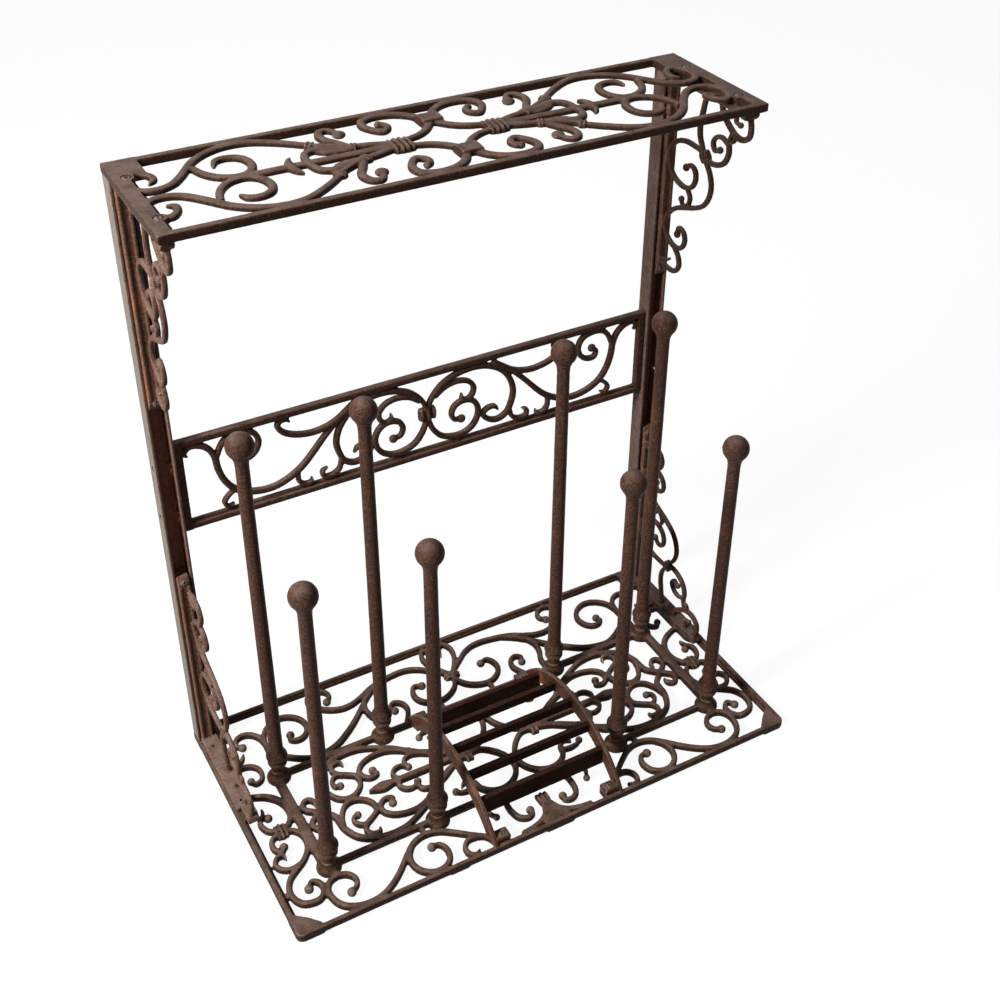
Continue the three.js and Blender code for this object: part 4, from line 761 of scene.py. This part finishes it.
def postPieces():
    for row, y in zip(("rear", "front"), base["rows"]):
        centre, ball, neck, bands = post["balls"][row], post["ball"] / 2, post["neck"] / 2, post["bands"]
        neckTop = centre - math.sqrt(ball**2 - neck**2)
        low, high, (wide, narrow) = post["shaftStart"], neckTop - post["shaftEnd"], post["shaft"]
        steps = round((high - low) / post["shaftStep"])
        profile = post["foot"] + post["beads"]
        for share in (step / steps for step in range(steps + 1)):
            profile.append(((wide * (1 - share) + narrow * share) / 2, low + (high - low) * share))
        profile += [(radius, neckTop - down) for radius, down in post["collar"]]
        start = math.asin((neckTop - centre) / ball)
        angles = [start + (math.pi / 2 - start) * band / bands for band in range(1, bands)]
        profile += [(ball * math.cos(angle), centre + ball * math.sin(angle)) for angle in angles]
        profile.append((post["flat"], centre + ball))
        for index, x in enumerate(base["columns"], 1):
            stock = newStock()
            addTurned(stock, x, y, profile, post["sides"])
            piece = objectFrom(f"{row}Post{index}", stock)
            drill(piece, [(x, y, *post["bore"])])
            roughen(piece, lumps["post"])
            bake(piece)
            finishPiece(piece, "cast_iron", "cast_iron", f"post_{row}_{index}",
                        others=[("worn_iron", lambda spot: spot.z < post["beads"][0][1])])


# Uprights: channels open to the front

upright = {
    "inner": 305.5, "outer": 329.5, "front": 149, "back": 170, "wall": 3.5, "foot": 12.3, "top": 763.7, "edge": 0.9,
    "bore": 4.6, "access": 7, "panelHoles": (356.75, 422.75), "panelLine": 157.5, "bracketHoles": (265.3, 510.7),
    "panelBite": 3, "bracketBite": 1,   # how far the drill runs past the walls
    "near": 0.2, "outerNear": 0.3,      # how near a face is to count as inside or outside
}


def uprightPieces():
    x0, x1, wall, front, back = (upright[key] for key in ("inner", "outer", "wall", "front", "back"))
    outline = [(x0, front), (x0 + wall, front), (x0 + wall, back - wall), (x1 - wall, back - wall),
               (x1 - wall, front), (x1, front), (x1, back), (x0, back)]
    walls = (x0 + wall / 2, upright["bore"]), (x1 - wall / 2, upright["access"])
    bite, past, near = upright["panelBite"], upright["bracketBite"], upright["near"]
    for side, sign in (("left", -1), ("right", 1)):
        stock = newStock()
        addRings(stock, [[(sign * x, y, z) for x, y in outline] for z in (upright["foot"], upright["top"])])
        piece = objectFrom(f"{side}Upright", stock)
        edges = piece.modifiers.new("edges", "BEVEL")
        edges.width = upright["edge"] * mm
        edges.segments = 3
        bake(piece)
        drill(piece, [(upright["panelLine"], z, sign * line - bite, sign * line + bite, width)
                      for z in upright["panelHoles"] for line, width in walls], "X")
        drill(piece, [(z, sign * (x0 + x1) / 2, back - wall - past, back + past, upright["bore"])
                      for z in upright["bracketHoles"]], "Y")
        finishPiece(piece, "upright_iron", "upright_iron", f"upright_{side}", others=[
            # Inside the channel: the lighter finish, painted light.
            ("channel_iron",
             lambda spot: x0 + wall - near < abs(spot.x) < x1 - wall + near and spot.y < back - past),
            # Outer faces: the pale finish, painted light.
            ("pale_iron", lambda spot: abs(spot.x) > x1 - upright["outerNear"])])


# Top shelf casting, drawn about its own middle

shelf = {
    "length": 660, "depth": 176.5, "thick": 9, "bar": 8.5, "scrollTop": 9.2, "scroll": 8.2, "endPlate": 15,
    "pad": (33, 38), "cornerCut": 4, "middle": 81.75, "under": 764, "aside": -3.5, "scrollFloor": 3.4,
    "stem": 11, "stemReach": (53, 226), "stemLower": 0.4, "tie": (53, 24, 31), "tieTop": 11.6, "wrapUnder": 1,
    "knot": (43.5, 24, 20), "knotTop": 11.4, "knotEdge": 0.5, "knotRib": (5.6, 4, 1.6, 12.9),
    "collars": [(97, 15.5, 7, 16, 0.4), (134, 38.5, 9, 15, 0.72)], "collarTop": 11,
    "lug": 17, "screwLine": 317.5, "screwPlaces": (-51.75, 45.25), "screwHole": [(-1, 12, 4.6), (6.4, 12, 10.4)],
    "leaf": [(162, 19, 1), (165.5, 14, 3.4), (168, 7, 4.8), (168.8, 0, 5.2), (168, -7, 4.8), (165.5, -14, 3.4),
             (162, -19, 1)],
    "petal": [(97, 13, 4), (106, 15.5, 7), (115, 19, 9.6), (124, 23, 10.2), (132, 28, 8), (138, 32, 4.5)],
    "petalCrown": (6.4, 0.24), "leafCrown": (8, 0.45),   # height, and what it gains with the width
    "cast": (1.0, 3, 180000),
    "strands": [   # width, rise over the scrolls and path
        (9.5, 0.3, [(58, 4), (72, 9), (85, 13), (98, 16)]),
        (8.5, 0.2, [(97, 14), (110, 17.5), (124, 22.5), (136, 25.5), (145.5, 20.5), (149.5, 10), (150, 0)]),
        (5.5, 0.6, [(98, 16), (110, 22.5), (122, 30), (134, 38)])],
}


def shelfCasting():
    stock, halfLength, half, thick = newStock(), shelf["length"] / 2, shelf["depth"] / 2, shelf["thick"]
    aside, floor, crown, domed = shelf["aside"], shelf["scrollFloor"], shelf["scrollTop"], domedSection()
    for sy in (-1, 1):
        y = sy * (half - shelf["bar"] / 2)
        addStraight(stock, (-sy * halfLength, y), (sy * halfLength, y), shelf["bar"], 0, thick, squareSection)
    for sx in (-1, 1):
        inner, cut, (across, along) = shelf["endPlate"], shelf["cornerCut"], shelf["pad"]
        plate = [(cut, -half), (0, -half + cut), (0, half), (across, half), (across, half - along),
                 (inner, half - along), (inner, -half)]
        addPrism(stock, [(sx * (halfLength - a), y) for a, y in plate], 0, thick)
        for sy in (-1, 1):
            addScrolls(stock, shelfShares, lambda u, v: (aside - sx * u * halfLength, -sy * v * half),
                       shelf["scroll"], floor, crown, domed)
            petal = [np.array((aside + sx * x, sy * y)) for x, y, w in shelf["petal"]]
            widths = [w for x, y, w in shelf["petal"]]
            low, gain = shelf["petalCrown"]
            addBar(stock, petal, widths, floor, [low + w * gain for w in widths], domedSection(0.5))
            for width, rise, points in shelf["strands"]:
                addScroll(stock, [(aside + sx * x, sy * y) for x, y in points], width, floor, crown + rise, domed)
            for x, y, length, across, angle in shelf["collars"]:
                addTie(stock, aside + sx * x, sy * y, length, across, floor, shelf["collarTop"], 2, sx * sy * angle)
        ends = [(aside + sx * x, 0) for x in shelf["stemReach"]]
        addStraight(stock, *ends, shelf["stem"], floor, crown - shelf["stemLower"], domed)
        x, length, across = shelf["tie"]
        addTie(stock, aside + sx * x, 0, length, across, floor - shelf["wrapUnder"], shelf["tieTop"], 4)
        leaf = [np.array((aside + sx * x, y)) for x, y, w in shelf["leaf"]]
        widths = [w for x, y, w in shelf["leaf"]]
        low, gain = shelf["leafCrown"]
        addBar(stock, leaf, widths, floor, [low + w * gain for w in widths], domedSection(0.35, 1))
        for y in shelf["screwPlaces"]:
            addTurned(stock, sx * shelf["screwLine"], y, [(shelf["lug"] / 2, 0), (shelf["lug"] / 2, thick)])
    for sy in (-1, 1):
        y, length, across = shelf["knot"]
        xs, ys = (aside - length / 2, aside + length / 2), (sy * y - across / 2, sy * y + across / 2)
        addBlock(stock, xs, ys, (floor, shelf["knotTop"]), shelf["knotEdge"])
        wide, wider, inset, ribTop = shelf["knotRib"]
        for end in (-1, 1):
            x = aside + end * (length / 2 - inset)
            addTie(stock, x, sy * y, wide, across + wider, floor - shelf["wrapUnder"], ribTop, 1)
    piece = cast("shelfCasting", stock, *shelf["cast"])
    drill(piece, [(sx * shelf["screwLine"], y, *hole)
                  for sx in (-1, 1) for y in shelf["screwPlaces"] for hole in shelf["screwHole"]])
    placePiece(piece, Matrix.Translation(Vector((0, shelf["middle"], shelf["under"])) * mm))
    finishPiece(piece, "flat_iron", "cast_iron", "top_shelf")


# Back panel casting, drawn flat and stood up

panel = {
    "half": 305.2, "halfHeight": 59.75, "middleHeight": 389.75, "thick": 9, "bar": 11, "end": 9, "scroll": 6.6,
    "scrollFloor": 1, "scrollTop": 8, "tie": (24, 18), "tieTop": 11, "back": 162, "link": (39, -0.775, 3, 4),
    "linkHeights": (1.5, 6.5), "screwRows": (-33, 33), "screwDepth": 7.2, "screw": 4.6, "cast": (0.9, 3, 150000),
}


def panelCasting():
    stock, half, high, thick = newStock(), panel["half"], panel["halfHeight"], panel["thick"]
    for sy in (-1, 1):
        x, y = sy * (half - panel["end"] / 2), sy * (high - panel["bar"] / 2)
        addStraight(stock, (-sy * half, y), (sy * half, y), panel["bar"], 0, thick, rimSection)
        addStraight(stock, (x, sy * high), (x, -sy * high), panel["end"], 0, thick, squareSection)
    for side in (-1, 1):
        addScrolls(stock, panelShares, lambda u, v: (side * u * half, v * high),
                   panel["scroll"], panel["scrollFloor"], panel["scrollTop"], domedSection())
        x, v, wide, deep = panel["link"]
        ys = (v * high - deep, v * high + deep)
        addBlock(stock, (side * x - wide, side * x + wide), ys, panel["linkHeights"])
    addTie(stock, 0, 0, *panel["tie"], 0, panel["tieTop"], 3)
    piece = cast("panelCasting", stock, *panel["cast"])
    reach = panel["screwDepth"]
    drill(piece, [(y, thick / 2, side * half - reach, side * half + reach, panel["screw"])
                  for side in (-1, 1) for y in panel["screwRows"]], "X")
    stand = Matrix.Translation(Vector((0, panel["back"], panel["middleHeight"])) * mm)
    placePiece(piece, stand @ Matrix.Rotation(math.pi / 2, 4, "X"))
    finishPiece(piece, "cast_iron", "cast_iron", "back_panel")


# Brackets, four alike, drawn flat: forward of the back face and down from the shelf

bracket = {
    "reach": 176.5, "drop": 262, "thick": 6.2, "scroll": 5.7, "plane": -2.6, "back": 170, "line": 317.5,
    "top": 763.7, "foot": 12.3, "strip": (19, 7), "stripEnds": (23.3, 150.5),
    "nose": [(142.5, 0), (173.5, 0), (174.5, 1.5), (173.9, 4), (171.5, 7.5), (167.5, 9.6), (160.5, 9.6), (150.5, 7),
             (142.5, 7)],
    "noseWidth": 14, "noseEdge": 0.8, "tongue": (14, 3.8, 25), "tongueAside": 1, "tipCut": (4.5, 9),
    "tongueRib": (3.4, 2, 1.2), "tongueRibEnds": (4, 5, 14, 12), "tongueShade": 3, "cast": (0.85, 3, 90000),
    "knot": (0.544, 0.298, 16, 14, -38), "knotRise": 2, "screwPlaces": (43, 140), "screw": 4.6, "tipScrew": 253,
    "tipHead": (2.6, 8.9), "lean": 0.044, "leanStart": 27, "leanBelow": 8, "leanFront": 147, "leanEase": 8,
}


# The upper left bracket stands a little askew: its scrolls drift outwards towards the front.
def leanScrolls(piece):
    places = np.empty(3 * len(piece.data.vertices))
    piece.data.vertices.foreach_get("co", places)
    x, y, z = places.reshape(-1, 3).T / mm
    forward, depth = bracket["back"] - y, bracket["top"] - z
    below, front = depth - bracket["leanBelow"], forward - bracket["leanFront"]
    share = np.maximum(*(np.clip(past / bracket["leanEase"], 0, 1) for past in (below, front)))
    x -= bracket["lean"] * share * np.maximum(forward - bracket["leanStart"], 0)
    piece.data.vertices.foreach_set("co", np.stack((x, y, z), 1).ravel() * mm)
    piece.data.update()


def bracketPattern():
    stock, half, plane = newStock(), bracket["thick"] / 2, bracket["plane"]
    reach, drop, nose, aside = bracket["reach"], bracket["drop"], bracket["noseWidth"] / 2, bracket["tongueAside"]
    (wide, deep), (start, end), (across, near, far) = bracket["strip"], bracket["stripEnds"], bracket["tongue"]
    addPrism(stock, [(start, 0), (end, 0), (end, deep), (start, deep)], -wide / 2, wide / 2)
    addPrism(stock, bracket["nose"], plane - nose, plane + nose, bracket["noseEdge"])
    cutAcross, cutAlong = bracket["tipCut"]
    tongue = [(near, 0), (far, 0), (far, drop - cutAlong), (far - cutAcross, drop), (near, drop)]
    addPrism(stock, tongue, aside - across / 2, aside + across / 2)
    (rib, sunk, proud), (a, b, c, d) = bracket["tongueRib"], bracket["tongueRibEnds"]
    for side in (-1, 1):
        line = aside + side * (across - rib) / 2
        outline = [(far - sunk, a), (far + proud, b), (far + proud, drop - c), (far - sunk, drop - d)]
        addPrism(stock, outline, line - rib / 2, line + rib / 2)
    addScrolls(stock, bracketShares, lambda u, v: (u * reach, v * drop),
               bracket["scroll"], plane - half, plane + half, roundSection())
    u, v, length, over, angle = bracket["knot"]
    wrap, cos, sin = newStock(), math.cos(math.radians(angle)), math.sin(math.radians(angle))
    addTie(wrap, 0, 0, length, over, 0, half + bracket["knotRise"], 3)
    for facing in (-1, 1):
        first = len(stock["places"])
        stock["places"] += [(u * reach + a * cos - b * sin, v * drop + a * sin + b * cos, plane + facing * c)
                            for a, b, c in wrap["places"]]
        stock["faces"] += [tuple(first + corner for corner in face[::facing]) for face in wrap["faces"]]
    pattern = cast("bracketPattern", stock, *bracket["cast"])
    tip, bore, (sunk, head) = bracket["tipScrew"], bracket["screw"], bracket["tipHead"]
    drill(pattern, [(tip, 0, -1, far + 3, bore), (tip, 0, far - sunk, far + 3, head)], "X")
    drill(pattern, [(0, forward, -1, deep + 1, bore) for forward in bracket["screwPlaces"]], "Y")
    return pattern


def bracketCastings():
    pattern, tongueEnd = bracketPattern(), bracket["back"] - bracket["tongue"][2] - bracket["tongueShade"]
    flat = Matrix(((0, 0, 1, 0), (-1, 0, 0, 0), (0, -1, 0, 0), (0, 0, 0, 1)))
    for side, sign in (("left", -1), ("right", 1)):
        for level, height, up in (("upper", bracket["top"], 1), ("lower", bracket["foot"], -1)):
            piece = bpy.data.objects.new(f"{level}{side.capitalize()}Bracket", pattern.data.copy())
            bpy.context.collection.objects.link(piece)
            turn = Matrix.Rotation(0 if up > 0 else math.pi, 4, "Y")
            flip = Matrix.Scale(sign * up, 4, (0, 0, 1))
            spot = Matrix.Translation(Vector((sign * bracket["line"], bracket["back"], height)) * mm)
            placePiece(piece, spot @ turn @ flat @ flip)
            if sign * up < 0:
                piece.data.flip_normals()
            if side == "left" and level == "upper":
                leanScrolls(piece)
            # The left brackets take the paler copy, painted light.
            iron = "dusty_iron" if side == "left" else "cast_iron"
            finishPiece(piece, iron, "cast_iron", f"{level}_bracket_{side}",
                        others=[("tongue_iron", lambda spot: spot.y > tongueEnd)])
    bpy.data.objects.remove(pattern)


# Boot scraper casting: two arched plates with five blades between them

scraper = {
    "half": 85, "plate": 5, "front": -173, "rear": 60.94, "foot": 12.3, "rise": 60, "innerRise": 38,
    "footLength": 22, "blades": [(-71, 26), (-40, 13), (0, 13), (40, 13), (80, 26)],   # place and height
    "blade": 6.5, "bladeEdge": 1.2, "drop": 5.4, "lug": (9.5, 7.5, 8), "lugEdge": 2, "lugPlace": 74,
    "lugInset": 11.5, "screwHole": [(-1, 10, 4.6), (5.5, 10, 9.1)], "cast": (0.95, 2, 120000),
    "bladeShade": (0.8, 9),   # the darker finish of the blades: in from the plates, and up from the base
}


def archPoints(span, rise, steps=28):
    radius = ((span / 2) ** 2 + rise**2) / (2 * rise)
    sides = [-span / 2 + span * step / steps for step in range(steps + 1)]
    return [(y, rise - radius + math.sqrt(radius**2 - y**2)) for y in sides]


def scraperCasting():
    stock, half, foot, plate = newStock(), scraper["half"], scraper["foot"], scraper["plate"] / 2
    front, rear, rise = scraper["front"], scraper["rear"], scraper["rise"]
    middle, span = (front + rear) / 2, rear - front
    radius = ((span / 2) ** 2 + rise**2) / (2 * rise)
    outline = archPoints(span, rise) + archPoints(span - 2 * scraper["footLength"], scraper["innerRise"])[::-1]
    wide, deep, high = scraper["lug"]
    holes = []
    for sign in (-1, 1):
        sides = (sign * half - plate, sign * half + plate)
        addRings(stock, [[(side, middle + y, foot + z) for y, z in outline] for side in sides])
        x = sign * scraper["lugPlace"]
        for y in (front + scraper["lugInset"], rear - scraper["lugInset"]):
            addBlock(stock, (x - wide, x + wide), (y - deep, y + deep), (foot, foot + high), scraper["lugEdge"])
            holes += [(x, y, foot + low, foot + end, width) for low, end, width in scraper["screwHole"]]
    for y, height in scraper["blades"]:
        top = foot + rise - radius + math.sqrt(radius**2 - y**2) - scraper["drop"]
        ys = (middle + y - scraper["blade"] / 2, middle + y + scraper["blade"] / 2)
        addBlock(stock, (-half, half), ys, (top - height, top), scraper["bladeEdge"])
    piece = cast("scraperCasting", stock, *scraper["cast"])
    drill(piece, holes)
    inwards, upwards = scraper["bladeShade"]
    finishPiece(piece, "worn_iron", "worn_iron", "boot_scraper", others=[
        ("blade_iron", lambda spot: abs(spot.x) < half - plate - inwards and spot.z > foot + upwards)])


# Screws and bolts, each turned along its own line inside the solid of its node

fastening = {
    "screw": (2.2, 2.0, 4.25), "bolt": (4.0, 4.0, 7.0),   # height of the head, half of the shank and of the head
    "sides": 28, "slot": 1.2, "slotDepth": 1.0, "slotReach": 2.4,
    "rim": [(0.8, 0.0), (0.15, 0.35), (0, 0.9)], "tip": (0.8, 0.6), "flat": 0.3,   # the rim is inwards and up
    "facing": {"shelf_screw": "-Z", "base_screw": "+Z", "bracket_screw": "+Y", "scraper_screw": "-Z",
               "post_bolt": "+Z", "panel_screw_left": "-X", "panel_screw_right": "+X"},
}


def fastenerPieces():
    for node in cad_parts:
        towards = next((way for kind, way in fastening["facing"].items() if node.startswith(kind)), None)
        if towards is None:
            continue
        low, high = (np.array(corner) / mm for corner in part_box(node))
        axis, forward, centre = "XYZ".index(towards[1]), 1 if towards[0] == "+" else -1, (low + high) / 2
        length, start = high[axis] - low[axis], low[axis] if forward > 0 else high[axis]
        first, second = (i for i in range(3) if i != axis)
        headHeight, shank, head = fastening["bolt" if node.startswith("post_bolt") else "screw"]
        (tipLength, taper), flat = fastening["tip"], fastening["flat"]
        rings = []
        for radius, along in (
                (flat, 0.0), *((head - inwards, up) for inwards, up in fastening["rim"]), (head, headHeight),
                (shank, headHeight), (shank, length - tipLength), (shank - taper, length), (flat, length)):
            ring = []
            for side in range(fastening["sides"]):
                angle = 2 * math.pi * side / fastening["sides"]
                spot = centre.copy()
                spot[axis] = start + forward * along
                spot[first] += radius * math.cos(angle)
                spot[second] += radius * math.sin(angle)
                ring.append(spot)
            rings.append(ring)
        stock, slot = newStock(), newStock()
        addRings(stock, rings)
        piece = objectFrom(node.replace("_", " ").title().replace(" ", ""), stock)
        size, middle = np.full(3, head * fastening["slotReach"]), centre.copy()
        size[axis], size[first], middle[axis] = fastening["slotDepth"] * 2, fastening["slot"], start
        addBlock(slot, *zip(middle - size / 2, middle + size / 2))
        cutAway(piece, objectFrom("slotCutter", slot))
        finishPiece(piece, "screw_steel", "screw_steel", node)


baseCasting()
postPieces()
print("posts turned")
uprightPieces()
print("uprights rolled")
shelfCasting()
panelCasting()
bracketCastings()
scraperCasting()
fastenerPieces()
print("screws and bolts turned")


# Studio: pale floor, white behind, soft lamps

studio = {
    "floor": 30, "floorThick": 20, "floorTone": 0.12, "floorGlow": 0.93, "ambient": 0.03, "aim": (0, 0, 0.35),
    "lamps": {   # place and size in metres, power in watts
        "key": ((-2.2, -0.3, 1.8), 0.7, 118),
        "fill": ((-0.8, -3.4, 1.5), 1.6, 11),
        "rim": ((0.8, 2.6, 2.8), 1.6, 18),
    },
}


def seenDirectly(tree):
    path = tree.nodes.new("ShaderNodeLightPath")
    seen = addMath(tree, "MAXIMUM", path.outputs["Is Camera Ray"], path.outputs["Is Glossy Ray"])
    return addMath(tree, "MAXIMUM", seen, path.outputs["Is Transmission Ray"])


def layFloor():
    stock, half = newStock(), studio["floor"] / 2 / mm
    addBlock(stock, (-half, half), (-half, half), (-studio["floorThick"], 0))
    floor = objectFrom("studioFloor", stock)
    material = bpy.data.materials.new("studioFloor")
    material.use_nodes = True
    tree = material.node_tree
    tree.nodes.remove(tree.nodes["Principled BSDF"])
    matt = tree.nodes.new("ShaderNodeBsdfDiffuse")
    matt.inputs["Color"].default_value = (*[studio["floorTone"]] * 3, 1)
    glow = tree.nodes.new("ShaderNodeEmission")
    glow.inputs["Color"].default_value = (1, 1, 1, 1)
    tree.links.new(addMath(tree, "MULTIPLY", seenDirectly(tree), studio["floorGlow"]), glow.inputs["Strength"])
    both = tree.nodes.new("ShaderNodeAddShader")
    plug(tree, both.inputs, (matt.outputs[0], glow.outputs[0]))
    tree.links.new(both.outputs[0], tree.nodes["Material Output"].inputs["Surface"])
    floor.data.materials.append(material)


def lightStudio():
    for name, (place, size, power) in studio["lamps"].items():
        data = bpy.data.lights.new(name, "AREA")
        data.shape = "DISK"
        data.size = size
        data.energy = power
        light = bpy.data.objects.new(name, data)
        bpy.context.collection.objects.link(light)
        light.location = place
        light.rotation_euler = (Vector(studio["aim"]) - light.location).to_track_quat("-Z", "Y").to_euler()
    world = bpy.data.worlds.new("studio")
    bpy.context.scene.world = world
    world.use_nodes = True
    tree = world.node_tree
    background = tree.nodes["Background"].inputs
    background["Color"].default_value = (1, 1, 1, 1)
    tree.links.new(addRange(tree, seenDirectly(tree), 0.0, 1.0, studio["ambient"], 1.0), background["Strength"])
    bpy.context.scene.view_settings.view_transform = "Standard"


layFloor()
lightStudio()
print("studio lit")
